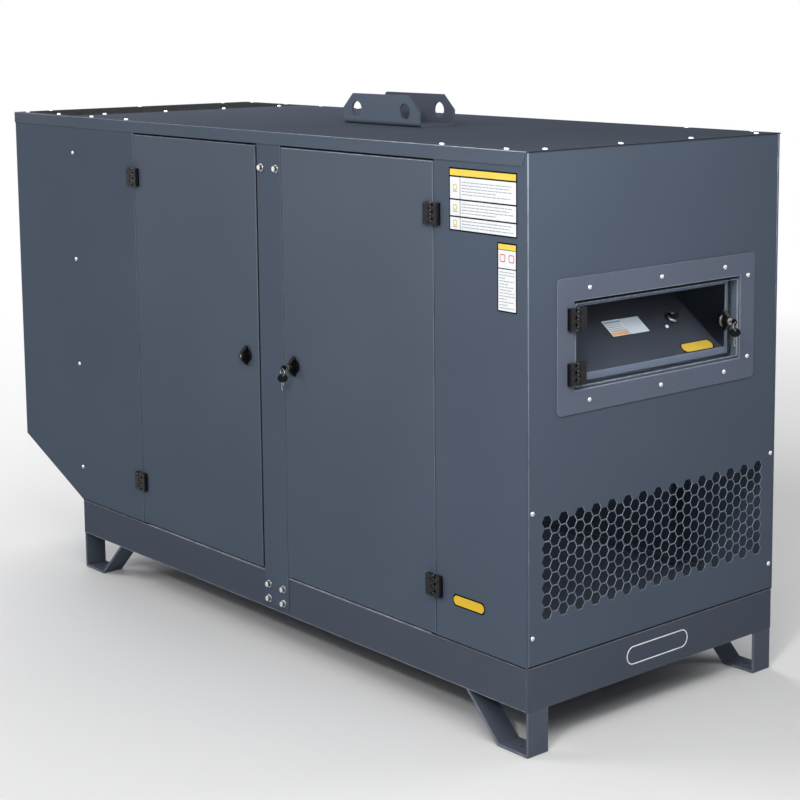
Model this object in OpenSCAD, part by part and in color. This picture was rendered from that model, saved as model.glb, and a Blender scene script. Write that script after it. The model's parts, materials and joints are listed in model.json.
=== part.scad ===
// Enclosed gas generator set: a sheet-metal canopy on a folded base with four bent feet.
// +X points to the end with the control window, -Y to the side with the two hinged doors,
// +Z up. The origin lies on the ground, at the centre of the four anchor holes.

/* [Overall] */
// Length of the base frame
base_l = 1765; // [1500:5:2200]
// Width of the base and canopy
body_w = 780; // [650:10:950]
// Height of the canopy above the base
housing_h = 1050; // [850:10:1300]
// How far the air outlet hood runs past the base
hood_l = 303; // [240:5:420]
// Height at which the hood's sloped underside meets its end wall, above the base
hood_rise = 135; // [90:5:200]

/* [Sheet metal] */
// Thickness of the canopy sheets
sheet_t = 2; // [1.5:0.5:3]
// Height of the roof's side flange
fascia_h = 29; // [24:1:45]
// Slanted cut at the flange's window end
fascia_cut = 12; // [6:1:20]
// Length of the roof sheet that holds the outlet grille
outlet_l = 300; // [250:1:400]

/* [Base frame] */
// Height of the base rails
base_h = 94; // [70:2:140]
// Thickness of the base rails
base_t = 4; // [3:0.5:6]
// Width of the base rails' flanges
rail_w = 45; // [35:1:70]
// Set-back of the long rails behind the canopy's sides
base_inset = 3; // [3:0.5:6]

/* [Feet] */
// Height of the feet
foot_h = 96; // [70:2:140]
// Width of the foot strip
foot_w = 60; // [50:1:80]
// Thickness of the foot strip
foot_t = 6; // [5:0.5:8]
// Length of a foot's flat
foot_flat = 91; // [75:1:120]
// Reach of a foot's brace along the base
foot_reach = 190; // [150:1:260]
// Distance of the anchor hole from the base's end
anchor_x = 46; // [35:1:55]
// Diameter of the anchor holes
anchor_d = 14; // [10:1:18]

/* [Doors] */
// Width of one door opening
door_w = 540; // [440:1:650]
// Width of the post between the doors
post_w = 93; // [80:1:140]
// Distance from the window end to the right door's hinge line
door_start = 279; // [220:1:360]
// Depth of the folded door edges
door_depth = 30; // [24:1:36]
// Gap above, below and at the free edge of a door
door_gap = 5; // [5:0.5:8]
// Gap between the left door's free edge and the post
free_gap = 6.5; // [6.5:0.5:10]
// Gap between the right door's free edge and the post
latch_gap = 2.5; // [2.5:0.5:6.5]
// Gap along the hinge line
hinge_gap = 3; // [2.5:0.5:4]
// Depth of the door frame's folds behind the canopy's face
jamb_depth = 38; // [36:1:48]
// Width of the door stops
stop_w = 20; // [12:1:30]
// Wall of the centre posts
post_t = 3; // [3:0.5:4]
// Height of a post's foot above the underside of the base
post_foot = 14; // [5:1:25]
// Distance from a door's top edge to its upper hinge's centre
hinge_top = 108; // [80:1:200]
// Distance from a door's lower edge to its lower hinge's centre
hinge_bottom = 108; // [80:1:200]
// Distance from a door's free edge to its knob
knob_edge = 44; // [30:1:60]
// Depth of the door knobs below the roof
knob_down = 535; // [450:2:640]

/* [Hinges] */
// Height and width of a hinge
hinge_size = 46; // [40:1:60]
// Thickness of a hinge leaf
leaf_t = 11; // [8:0.5:11]
// Diameter of a hinge knuckle
knuckle_d = 13; // [11:0.5:15]
// Distance of the hinge axis from the surface that the leaves sit on
axis_out = 7; // [6.5:0.5:9]
// Diameter of a hinge pin
pin_d = 5; // [4:0.5:6]
// Difference between a knuckle's bore and its pin
pin_clearance = 0.1; // [0.04:0.02:0.16]
// Number of knuckles on a hinge
knuckles = 5; // [3:2:7]

/* [Window] */
// Width of the window's cut-out
window_w = 515; // [400:1:560]
// Height of the window's cut-out
window_h = 183; // [140:1:240]
// Depth of the window's top edge below the roof
window_down = 309; // [250:1:400]
// Width of the screwed frame around the window
bezel_w = 49; // [40:1:60]
// Thickness of the frame
bezel_t = 3; // [2:0.5:5]
// Corner radius of the frame
bezel_r = 10; // [5:1:20]
// Depth of the recess behind the pane
recess_d = 28; // [20:1:36]
// Width of the ledge at the back of the recess
ledge_w = 18; // [10:1:24]
// Height of the ledge's lower side
ledge_low = 24; // [16:1:30]
// Thickness of the clear pane
pane_t = 5; // [4:0.5:8]
// Gap around the pane's free edges
pane_gap = 6; // [5:0.5:8]
// Depth of the control console at its top
console_d = 198; // [150:1:230]
// Distance of the selector switch from the window's far edge
switch_in = 96; // [60:1:300]
// Distance of the selector switch from the console's lower edge
switch_up = 107; // [60:1:150]
// Diameter of the selector switch
switch_d = 34; // [20:1:40]

/* [Grilles] */
// Hexagon size across its flats
hex_af = 25; // [18:0.5:25.5]
// Distance between hexagons in a row
hex_pitch = 27.4; // [27:0.1:34]
// Rows of hexagons in the intake grille
intake_rows = 8; // [5:1:8]
// Height of the intake grille's lowest hexagon above the base
intake_up = 92; // [60:1:110]

/* [Lifting bracket] */
// Length of the bracket
bracket_l = 290; // [240:5:400]
// Width of the bracket
bracket_w = 113; // [80:1:130]
// Height of the bracket
bracket_h = 74; // [70:1:110]
// Wall of the bracket
bracket_t = 6; // [5:0.5:10]
// Diameter of the lifting holes
lift_d = 38; // [30:1:42]
// Distance between the lifting holes
lift_pitch = 184; // [140:2:200]

/* [Hidden] */

round_fn = 48;
canopy_grey = "#56626e";
base_grey = "#4d5762";
dark_grey = "#3b434c";
part_black = "#17181a";
zinc = "#c8ccd0";

// Canopy and base levels
half_w = body_w / 2;
x_right = base_l / 2;
x_base = -base_l / 2;
x_hood = x_base - hood_l;
z_base = foot_h;
z_deck = foot_h + base_h;
z_roof = z_deck + housing_h;
z_sheet = z_roof - sheet_t;
z_fascia = z_roof - fascia_h;
x_outlet = x_hood + outlet_l;
half_base = half_w - base_inset;

// Door layout along X, right to left
x_hinge_right = x_right - door_start;
x_post_right = x_hinge_right - door_w + free_gap - latch_gap;
x_post_left = x_post_right - post_w;
x_hinge_left = x_post_left - door_w;
z_door_low = z_deck + door_gap;
z_door_high = z_fascia - door_gap;
z_knob = z_roof - knob_down;
z_hinge_high = z_door_high - hinge_top;
z_hinge_low = z_door_low + hinge_bottom;
door_free_right = x_post_right + latch_gap;
door_free_left = x_post_left - free_gap;
post_x = (x_post_right + x_post_left) / 2;

// Window layout on the end wall
face_x = x_right + bezel_t;
win_y0 = -window_w / 2;
win_y1 = window_w / 2;
win_z1 = z_roof - window_down;
win_z0 = win_z1 - window_h;
win_zc = (win_z0 + win_z1) / 2;
frame_t = 2;
window_hinge_in = 35;
window_knob_in = 60;
window_axis_y = win_y0 + hinge_gap / 2;
pane_y0 = win_y0 + hinge_gap;
pane_y1 = win_y1 - pane_gap;
window_knob_y = win_y1 - window_knob_in;

// Console behind the window: a sheet that leans back from the recess's lower edge
console_t = 2;
console_lap = 2;
console_flange = 12;
console_side_gap = 6;
console_x = face_x - recess_d - frame_t;
console_z0 = win_z0 + ledge_low - console_lap;
console_z1 = win_z1 - ledge_w + console_lap;
console_y0 = win_y0 + ledge_w - console_lap;
console_y1 = win_y1 - ledge_w - console_side_gap;
console_lean = atan2(console_d, console_z1 - console_z0);
switch_y = win_y1 - switch_in;
switch_h = 14;
switch_hole_d = 9;

// Hexagon field of the intake grille
hex_r = hex_af / sqrt(3);
col_pitch = hex_pitch * sqrt(3) / 2;
grille_side = 40;
intake_cols = 2 * floor((body_w - 2 * grille_side - 2 * hex_r) / col_pitch / 2) + 1;
intake_z = z_deck + intake_up;
grille_top = intake_z + intake_rows * hex_pitch + 12;
outlet_rim = 28;
outlet_rows = floor((outlet_l - 2 * outlet_rim) / hex_pitch);
outlet_cols = 2 * floor((body_w - 2 * outlet_rim - 2 * hex_r) / col_pitch / 2) + 1;

// Wing knob sizes, measured out from the face that the knob sits on
run_gap = 0.5;
shaft_d = 16;
shaft_hole_d = shaft_d + 2 * run_gap;
disc_d = 32;
disc_h = 5;
knob_h = 24;
lock_d = 15;
lock_h = 3;
wing_l = 48;
nose_l = 20;
wing_t = 12;
nut_d = 24;
nut_h = 4;

// Keys in the knobs' locks
key_bow_d = 19;
key_t = 2.4;
key_hole_d = 4.5;
key_shank = 5;
key_ring_r = 7.5;
key_wire_d = 1.6;
key_blade_l = 24;
key_blade_w = 7;

// ---------- shared shapes ----------

// Box from one corner to the other
module span(low, high) {
    translate(low) cube(high - low);
}

// Mirrors its children to the back of the canopy
module to_back() {
    mirror([0, 1, 0]) children();
}

// Extrudes a Y-Z outline along X
module along_x(x0, x1) {
    translate([x0, 0, 0])
        rotate([90, 0, 90])
            linear_extrude(height = x1 - x0) children();
}

// Extrudes an X-Z outline along Y
module along_y(y0, y1) {
    translate([0, y1, 0])
        rotate([90, 0, 0])
            linear_extrude(height = y1 - y0) children();
}

// Field of hexagons, columns along the first axis, odd columns one hexagon fuller
module hex_field(cols, rows) {
    for (c = [0 : cols - 1]) {
        full = c % 2 == 0;
        count = full ? rows : rows - 1;
        shift = full ? 0 : hex_pitch / 2;
        for (r = [0 : count - 1])
            translate([(c - (cols - 1) / 2) * col_pitch, (r - (rows - 1) / 2) * hex_pitch + shift])
                circle(r = hex_r, $fn = 6);
    }
}

// ---------- base ----------

module side_rail() {
    y0 = -half_base;
    along_x(x_base + base_t, x_right - base_t)
        difference() {
            translate([y0, z_base]) square([rail_w, base_h]);
            translate([y0 + base_t, z_base + base_t]) square([rail_w, base_h - 2 * base_t]);
        }
}

module end_rail() {
    inner_y = half_base - rail_w;
    span([x_right - base_t, -half_base, z_base], [x_right, half_base, z_deck]);
    for (z = [z_base, z_deck - base_t])
        span([x_right - rail_w, -inner_y, z], [x_right - base_t / 2, inner_y, z + base_t]);
}

module base_front_rail() {
    color(base_grey) side_rail();
}

module base_back_rail() {
    color(base_grey) to_back() side_rail();
}

module base_right_rail() {
    color(base_grey) end_rail();
}

module base_left_rail() {
    color(base_grey) mirror([1, 0, 0]) end_rail();
}

module base_floor() {
    inner_x = x_right - rail_w;
    inner_y = half_base - rail_w;
    color(base_grey) span([-inner_x, -inner_y, z_deck - base_t], [inner_x, inner_y, z_deck]);
}

module base_crossmembers() {
    member_w = 50;
    inner_y = half_base - base_t;
    color(base_grey)
        for (x = [-base_l / 4, 0, base_l / 4])
            translate([x, 0, 0])
                along_y(-inner_y, inner_y)
                    difference() {
                        translate([-member_w / 2, z_base + base_t])
                            square([member_w, base_h - 2 * base_t]);
                        translate([-member_w / 2 + base_t, z_base + 2 * base_t])
                            square([member_w, base_h - 4 * base_t]);
                    }
}

// Bent strip: upright at the base's end, flat on the ground, brace back up to the base
module foot() {
    rise = atan2(foot_h, foot_reach - foot_flat);
    wall = foot_t / sin(rise);
    inner_low = -foot_flat - foot_t / tan(rise) + wall;
    color(base_grey)
        difference() {
            translate([x_right, 0, 0])
                along_y(-half_base, -half_base + foot_w)
                    polygon([
                        [0, 0], [0, foot_h], [-foot_t, foot_h], [-foot_t, foot_t],
                        [inner_low, foot_t], [-foot_reach + wall, foot_h],
                        [-foot_reach, foot_h], [-foot_flat, 0]
                    ]);
            translate([x_right - anchor_x, -half_base + foot_w / 2, -1])
                cylinder(d = anchor_d, h = foot_t + 2, $fn = round_fn);
        }
}

module foot_front_right() {
    foot();
}

module foot_front_left() {
    mirror([1, 0, 0]) foot();
}

module foot_back_right() {
    to_back() foot();
}

module foot_back_left() {
    mirror([1, 0, 0]) to_back() foot();
}

// ---------- long sides ----------

// Fixed sheet beside the right door, folded back into a jamb with a door stop
module right_panel() {
    x0 = x_hinge_right + hinge_gap / 2;
    span([x0, -half_w, z_deck], [x_right - sheet_t, -half_w + sheet_t, z_sheet]);
    span([x0, -half_w, z_deck], [x0 + sheet_t, -half_w + jamb_depth, z_fascia]);
    span([x0 - stop_w, -half_w + jamb_depth - sheet_t, z_deck],
         [x0 + sheet_t, -half_w + jamb_depth, z_fascia]);
}

// Fixed sheet beside the left door, cut away under the outlet hood
module left_panel() {
    x1 = x_hinge_left - hinge_gap / 2;
    along_y(-half_w, -half_w + sheet_t)
        polygon([
            [x1, z_deck], [x1, z_sheet], [x_hood, z_sheet],
            [x_hood, z_deck + hood_rise], [x_base, z_deck]
        ]);
    span([x1 - sheet_t, -half_w, z_deck], [x1, -half_w + jamb_depth, z_fascia]);
    span([x1 - sheet_t, -half_w + jamb_depth - sheet_t, z_deck],
         [x1 + stop_w, -half_w + jamb_depth, z_fascia]);
}

// Channel between the doors; its face runs down over the base rail
module post() {
    x0 = x_post_left;
    x1 = x_post_right;
    y0 = -half_w;
    y1 = y0 + jamb_depth;
    span([x0, y0, z_base + post_foot], [x1, y0 + base_inset, z_fascia]);
    for (x = [x0, x1 - post_t])
        span([x, y0, z_deck], [x + post_t, y1, z_fascia - stop_w]);
}

// Header above the doors and sill below them, each with a door stop
module door_frame() {
    x0 = x_hinge_left - hinge_gap / 2;
    x1 = x_hinge_right + hinge_gap / 2;
    y0 = -half_w;
    stop_y = y0 + jamb_depth;
    sill_foot = 10;
    span([x0, y0, z_fascia], [x1, y0 + sheet_t, z_sheet]);
    span([x0, y0, z_fascia], [x1, stop_y + sheet_t, z_fascia + sheet_t]);
    span([x0, stop_y, z_fascia - stop_w], [x1, stop_y + sheet_t, z_fascia + sheet_t]);
    span([x0, stop_y, z_deck], [x1, stop_y + sheet_t, z_deck + stop_w]);
    span([x0, stop_y, z_deck], [x1, stop_y + sill_foot, z_deck + sheet_t]);
}

module front_right_panel() {
    color(canopy_grey) right_panel();
}

module front_left_panel() {
    color(canopy_grey) left_panel();
}

module front_post() {
    color(canopy_grey) post();
}

module front_door_frame() {
    color(dark_grey) door_frame();
}

module back_right_panel() {
    color(canopy_grey) to_back() right_panel();
}

module back_left_panel() {
    color(canopy_grey) to_back() left_panel();
}

module back_post() {
    color(canopy_grey) to_back() post();
}

module back_door_frame() {
    color(dark_grey) to_back() door_frame();
}

// Folded door pan between two X positions, with the hole for its knob
module door_pan(x0, x1, x_knob) {
    y0 = -half_w;
    difference() {
        span([x0, y0, z_door_low], [x1, y0 + door_depth, z_door_high]);
        span([x0 + sheet_t, y0 + sheet_t, z_door_low + sheet_t],
             [x1 - sheet_t, y0 + door_depth + 1, z_door_high - sheet_t]);
        translate([x_knob, y0 + sheet_t + 1, z_knob])
            rotate([90, 0, 0]) cylinder(d = shaft_hole_d, h = sheet_t + 2, $fn = round_fn);
    }
}

module right_door() {
    door_pan(door_free_right, x_hinge_right - hinge_gap / 2, door_free_right + knob_edge);
}

module left_door() {
    door_pan(x_hinge_left + hinge_gap / 2, door_free_left, door_free_left - knob_edge);
}

module front_right_door() {
    color(canopy_grey) right_door();
}

module front_left_door() {
    color(canopy_grey) left_door();
}

module back_right_door() {
    color(canopy_grey) to_back() right_door();
}

module back_left_door() {
    color(canopy_grey) to_back() left_door();
}

// ---------- ends and roof ----------

// Upper end sheet with the window cut-out
module window_end_panel() {
    recess = frame_t + 1;
    color(canopy_grey)
        difference() {
            span([x_right - sheet_t, -half_w, grille_top], [x_right, half_w, z_sheet]);
            span([x_right - sheet_t - 1, win_y0 - recess, win_z0 - recess],
                 [x_right + 1, win_y1 + recess, win_z1 + recess]);
        }
}

// Lower end sheet, pierced with hexagons
module intake_grille() {
    field_h = intake_rows * hex_pitch;
    color(canopy_grey)
        translate([x_right - sheet_t, 0, 0])
            rotate([90, 0, 90])
                linear_extrude(height = sheet_t)
                    difference() {
                        translate([-half_w, z_deck]) square([body_w, grille_top - z_deck]);
                        translate([0, intake_z + field_h / 2]) hex_field(intake_cols, intake_rows);
                    }
}

module hood_end_panel() {
    inner_y = half_w - sheet_t;
    color(canopy_grey)
        span([x_hood, -inner_y, z_deck + hood_rise], [x_hood + sheet_t, inner_y, z_sheet]);
}

// Sloped underside of the outlet hood
module hood_sloped_floor() {
    slope = atan2(hood_rise, hood_l);
    wall = sheet_t / cos(slope);
    lean = sheet_t / sin(slope);
    color(canopy_grey)
        along_y(-half_w + sheet_t, half_w - sheet_t)
            polygon([
                [x_base, z_deck], [x_base + lean, z_deck],
                [x_hood + sheet_t, z_deck + hood_rise + wall - sheet_t * tan(slope)],
                [x_hood + sheet_t, z_deck + hood_rise - sheet_t * tan(slope)]
            ]);
}

// Roof edge flange with a slanted cut at its window end
module fascia(x0, x1, cut) {
    along_y(-half_w - sheet_t, -half_w)
        polygon([
            [x0, z_fascia], [x1 - cut, z_fascia], [x1, z_roof], [x0, z_roof]
        ]);
}

module roof_panel() {
    x1 = x_right + sheet_t;
    color(canopy_grey) {
        span([x_outlet, -half_w - sheet_t, z_sheet], [x1, half_w + sheet_t, z_roof]);
        fascia(x_outlet, x_right - 1, fascia_cut);
        to_back() fascia(x_outlet, x_right - 1, fascia_cut);
    }
}

// Roof sheet over the hood, pierced with hexagons
module air_outlet_grille() {
    color(dark_grey) {
        translate([0, 0, z_sheet])
            linear_extrude(height = sheet_t)
                difference() {
                    translate([x_hood - sheet_t, -half_w - sheet_t])
                        square([outlet_l + sheet_t, body_w + 2 * sheet_t]);
                    translate([x_hood + outlet_l / 2, 0])
                        rotate(90) hex_field(outlet_cols, outlet_rows);
                }
        fascia(x_hood - sheet_t, x_outlet, 0);
        to_back() fascia(x_hood - sheet_t, x_outlet, 0);
        span([x_hood - sheet_t, -half_w - sheet_t, z_fascia],
             [x_hood, half_w + sheet_t, z_roof]);
    }
}

// Beam under the roof that ties the two posts and carries the bracket
module lifting_beam() {
    beam_w = 60;
    beam_h = 50;
    end_y = half_w - jamb_depth - sheet_t;
    color(dark_grey)
        translate([post_x, 0, 0])
            along_y(-end_y, end_y)
                difference() {
                    translate([-beam_w / 2, z_sheet - beam_h]) square([beam_w, beam_h]);
                    translate([-beam_w / 2 + base_t, z_sheet - beam_h + base_t])
                        square([beam_w - 2 * base_t, beam_h - 2 * base_t]);
                }
}

// U channel on the roof with two lifting holes through both walls
module lifting_bracket() {
    bend_r = 12;
    bevel_l = 38;
    bevel_h = 36;
    hole_z = 36;
    color(base_grey)
        translate([post_x, 0, z_roof])
            difference() {
                along_x(-bracket_l / 2, bracket_l / 2)
                    difference() {
                        union() {
                            translate([-bracket_w / 2, bend_r])
                                square([bracket_w, bracket_h - bend_r]);
                            translate([-bracket_w / 2 + bend_r, 0])
                                square([bracket_w - 2 * bend_r, bend_r]);
                            for (side = [-1, 1])
                                translate([side * (bracket_w / 2 - bend_r), bend_r])
                                    circle(r = bend_r, $fn = round_fn);
                        }
                        translate([-bracket_w / 2 + bracket_t, bracket_t])
                            square([bracket_w - 2 * bracket_t, bracket_h]);
                    }
                for (side = [-1, 1]) {
                    translate([side * lift_pitch / 2, 0, hole_z])
                        rotate([90, 0, 0])
                            cylinder(d = lift_d, h = bracket_w + 2, center = true, $fn = 2 * round_fn);
                    along_y(-bracket_w, bracket_w)
                        polygon([
                            [side * (bracket_l / 2 - bevel_l), bracket_h + 1],
                            [side * (bracket_l / 2 - bevel_l), bracket_h],
                            [side * bracket_l / 2, bracket_h - bevel_h],
                            [side * (bracket_l / 2 + 1), bracket_h - bevel_h],
                            [side * (bracket_l / 2 + 1), bracket_h + 1]
                        ]);
                }
            }
}

// ---------- window and controls ----------

// Screwed frame around the window with a folded recess and a ledge behind the pane
module window_frame() {
    outer_y0 = win_y0 - bezel_w;
    outer_z0 = win_z0 - bezel_w;
    outer_w = window_w + 2 * bezel_w;
    outer_h = window_h + 2 * bezel_w;
    color(canopy_grey)
        difference() {
            union() {
                translate([x_right, 0, 0])
                    rotate([90, 0, 90])
                        linear_extrude(height = bezel_t) {
                            translate([outer_y0 + bezel_r, outer_z0])
                                square([outer_w - 2 * bezel_r, outer_h]);
                            translate([outer_y0, outer_z0 + bezel_r])
                                square([outer_w, outer_h - 2 * bezel_r]);
                            for (y = [outer_y0 + bezel_r, outer_y0 + outer_w - bezel_r])
                                for (z = [outer_z0 + bezel_r, outer_z0 + outer_h - bezel_r])
                                    translate([y, z]) circle(r = bezel_r, $fn = round_fn);
                        }
                span([console_x, win_y0 - frame_t, win_z0 - frame_t],
                     [face_x - bezel_t / 2, win_y1 + frame_t, win_z1 + frame_t]);
            }
            span([console_x + frame_t, win_y0, win_z0], [face_x + 1, win_y1, win_z1]);
            span([console_x - 1, win_y0 + ledge_w, win_z0 + ledge_low],
                 [face_x, win_y1 - ledge_w, win_z1 - ledge_w]);
        }
}

// Moves its children to the console's face, +Z out of the face and +Y to the far side
module on_console(y, up) {
    translate([
        console_x - up * sin(console_lean), y, console_z0 + up * cos(console_lean)
    ])
        rotate([0, 90 - console_lean, 0]) children();
}

// Console sheet that leans back behind the window, with a near cheek and a top shelf
module control_console() {
    wall = console_t / cos(console_lean);
    back_x = console_x - console_d;
    color(dark_grey)
        difference() {
            union() {
                along_y(console_y0, console_y1)
                    polygon([
                        [console_x, console_z0 - console_flange], [console_x, console_z0],
                        [back_x, console_z1], [console_x, console_z1],
                        [console_x, console_z1 + console_t],
                        [back_x - wall, console_z1 + console_t],
                        [console_x - wall, console_z0],
                        [console_x - wall, console_z0 - console_flange]
                    ]);
                along_y(console_y0, console_y0 + console_t)
                    polygon([
                        [console_x, console_z0], [back_x, console_z1], [console_x, console_z1]
                    ]);
            }
            on_console(switch_y, switch_up)
                cylinder(d = switch_hole_d, h = 4 * console_t, center = true, $fn = round_fn);
        }
}

// Rotary switch: collar, grip bar and the shaft through the console
module selector_switch() {
    shaft = switch_hole_d - 2 * run_gap;
    rim = 5;
    grip_w = 7;
    color(part_black)
        on_console(switch_y, switch_up) {
            translate([0, 0, run_gap]) cylinder(d = switch_d, h = rim, $fn = round_fn);
            translate([-switch_d / 2 + 1, -grip_w / 2, run_gap + rim / 2])
                cube([switch_d - 2, grip_w, switch_h - rim / 2]);
            translate([0, 0, -2 * console_t]) cylinder(d = shaft, h = 3 * console_t, $fn = round_fn);
        }
}

// Clear pane with the hole for its knob
module window_pane() {
    color("#a9b4bd", 0.35)
        difference() {
            span([face_x - pane_t, pane_y0, win_z0 + pane_gap],
                 [face_x, pane_y1, win_z1 - pane_gap]);
            translate([face_x - pane_t - 1, window_knob_y, win_zc])
                rotate([0, 90, 0]) cylinder(d = shaft_hole_d, h = pane_t + 2, $fn = round_fn);
        }
}

// ---------- hinges ----------

// Leaf of a block hinge about the Z axis. The mounting face lies axis_out behind the axis,
// the leaf reaches to +X. The fixed leaf holds the pin and the odd knuckles, the moving
// leaf the even ones.
module hinge_leaf(fixed) {
    knuckle_h = hinge_size / knuckles;
    half = hinge_size / 2;
    clear = knuckle_d / 2 + run_gap;
    difference() {
        union() {
            span([0, axis_out - leaf_t, -half], [half, axis_out, half]);
            cylinder(d = knuckle_d, h = hinge_size, center = true, $fn = round_fn);
        }
        for (k = [fixed ? 1 : 0 : 2 : knuckles - 1]) {
            low = k == 0 ? -1 : -run_gap / 2;
            high = k == knuckles - 1 ? 1 : run_gap / 2;
            span([-clear, -clear - 1, -half + k * knuckle_h + low],
                 [clear, axis_out + 1, -half + (k + 1) * knuckle_h + high]);
        }
        if (!fixed)
            cylinder(d = pin_d + pin_clearance, h = hinge_size, center = true, $fn = round_fn);
    }
    if (fixed)
        cylinder(d = pin_d, h = hinge_size - 2 * run_gap, center = true, $fn = round_fn);
}

// Both leaves of a whole hinge, closed flat
module whole_hinge() {
    hinge_leaf(true);
    mirror([1, 0, 0]) hinge_leaf(false);
}

// Moves its children to the hinge line of a front door; the fixed leaf reaches to +X
module at_right_hinges() {
    for (z = [z_hinge_low, z_hinge_high])
        translate([x_hinge_right, -half_w - axis_out, z]) children();
}

// The same at the left door, mirrored so that the fixed leaf reaches to -X
module at_left_hinges() {
    for (z = [z_hinge_low, z_hinge_high])
        translate([x_hinge_left, -half_w - axis_out, z]) mirror([1, 0, 0]) children();
}

// The same at the window, turned so that the leaves lie on the end wall
module at_window_hinges() {
    for (z = [win_z0 + window_hinge_in, win_z1 - window_hinge_in])
        translate([face_x + axis_out, window_axis_y, z])
            rotate(90) mirror([1, 0, 0]) children();
}

module hinge_frame_leaves() {
    color(part_black) {
        at_right_hinges() hinge_leaf(true);
        at_left_hinges() hinge_leaf(true);
        at_window_hinges() hinge_leaf(true);
    }
}

module front_right_hinge_leaves() {
    color(part_black) at_right_hinges() mirror([1, 0, 0]) hinge_leaf(false);
}

module front_left_hinge_leaves() {
    color(part_black) at_left_hinges() mirror([1, 0, 0]) hinge_leaf(false);
}

module window_hinge_leaves() {
    color(part_black) at_window_hinges() mirror([1, 0, 0]) hinge_leaf(false);
}

module back_hinges() {
    color(part_black)
        to_back() {
            at_right_hinges() whole_hinge();
            at_left_hinges() whole_hinge();
        }
}

// ---------- knobs and keys ----------

// Wing knob along +Z, its face at z = 0; the nut holds it behind a sheet of thickness wall
module wing_knob(wall) {
    nut_z = -wall - run_gap - nut_h;
    translate([0, 0, nut_z - 2]) cylinder(d = shaft_d, h = 2 - nut_z + run_gap, $fn = round_fn);
    translate([0, 0, nut_z]) cylinder(d = nut_d, h = nut_h, $fn = round_fn);
    translate([0, 0, run_gap]) cylinder(d = disc_d, h = disc_h, $fn = round_fn);
    translate([0, 0, run_gap + disc_h / 2])
        cylinder(d = lock_d + 4, h = knob_h - lock_h - run_gap - disc_h / 2, $fn = round_fn);
    cylinder(d = lock_d, h = knob_h, $fn = round_fn);
    translate([-wing_t / 2, 0, 0])
        rotate([90, 0, 90])
            linear_extrude(height = wing_t)
                polygon([
                    [-wing_l / 2, disc_h], [wing_l / 2, disc_h],
                    [nose_l / 2, knob_h - lock_h], [-nose_l / 2, knob_h - lock_h]
                ]);
}

// Round head of a key, drilled for the ring
module key_bow(centre, hole) {
    difference() {
        translate(centre)
            rotate([0, 90, 0]) cylinder(d = key_bow_d, h = key_t, center = true, $fn = round_fn);
        translate(hole)
            rotate([0, 90, 0]) cylinder(d = key_hole_d, h = 2 * key_t, center = true, $fn = round_fn);
    }
}

// Key in a knob's lock, its ring and a second key that hangs from the ring
module key_set() {
    slack = (key_hole_d - key_wire_d) / 2 - 0.3;
    bow_z = knob_h + key_shank + key_bow_d / 2 - 1;
    hole_z = bow_z + key_bow_d / 2 - key_hole_d;
    ring_y = -key_ring_r - slack;
    hang_y = ring_y - key_ring_r - slack;
    hang_bow_y = hang_y - key_bow_d / 2 + key_hole_d;
    translate([-key_t / 2, -key_blade_w / 2, knob_h]) cube([key_t, key_blade_w, key_shank + 2]);
    key_bow([0, 0, bow_z], [0, 0, hole_z]);
    translate([0, ring_y, hole_z])
        rotate_extrude($fn = round_fn) translate([key_ring_r, 0]) circle(d = key_wire_d, $fn = 16);
    key_bow([0, hang_bow_y, hole_z], [0, hang_y, hole_z]);
    translate([
        -key_t / 2, hang_bow_y - key_bow_d / 2 - key_blade_l + 2, hole_z - key_blade_w / 2
    ])
        cube([key_t, key_blade_l, key_blade_w]);
}

// Moves its children onto a front face at X, with +Z pointing out of the face
module on_front(x) {
    translate([x, -half_w, z_knob]) rotate([90, 0, 0]) children();
}

// Moves its children onto the pane, with +Z pointing out of it
module on_pane() {
    translate([face_x, window_knob_y, win_zc]) rotate([90, 0, 90]) children();
}

module front_right_knob() {
    color(part_black) on_front(door_free_right + knob_edge) wing_knob(sheet_t);
}

module front_left_knob() {
    color(part_black) on_front(door_free_left - knob_edge) wing_knob(sheet_t);
}

module window_knob() {
    color(part_black) on_pane() wing_knob(pane_t);
}

module back_knobs() {
    color(part_black)
        to_back() {
            on_front(door_free_right + knob_edge) wing_knob(sheet_t);
            on_front(door_free_left - knob_edge) wing_knob(sheet_t);
        }
}

module front_right_keys() {
    color(zinc) on_front(door_free_right + knob_edge) key_set();
}

module window_keys() {
    color(zinc) on_pane() key_set();
}

base_front_rail();
base_back_rail();
base_right_rail();
base_left_rail();
base_floor();
base_crossmembers();
foot_front_right();
foot_front_left();
foot_back_right();
foot_back_left();
front_right_panel();
front_left_panel();
front_post();
front_door_frame();
back_right_panel();
back_left_panel();
back_post();
back_door_frame();
window_end_panel();
intake_grille();
hood_end_panel();
hood_sloped_floor();
roof_panel();
air_outlet_grille();
lifting_beam();
lifting_bracket();
window_frame();
control_console();
selector_switch();
hinge_frame_leaves();
back_right_door();
back_left_door();
back_hinges();
back_knobs();
front_right_door();
front_right_hinge_leaves();
front_right_knob();
front_right_keys();
front_left_door();
front_left_hinge_leaves();
front_left_knob();
window_pane();
window_hinge_leaves();
window_knob();
window_keys();
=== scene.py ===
"""Looks of the enclosed gas generator set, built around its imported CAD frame.

Shapes are drawn in millimetres, and Piece.done turns them into metres. Camera, lamps, floor,
materials and the frame's meshes are in metres. +X points to the end with the control window,
-Y to the side with the two hinged doors, +Z up, with the origin on the ground.
"""

import json
import math

import bmesh
import bpy
from mathutils import Matrix, Vector

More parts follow.
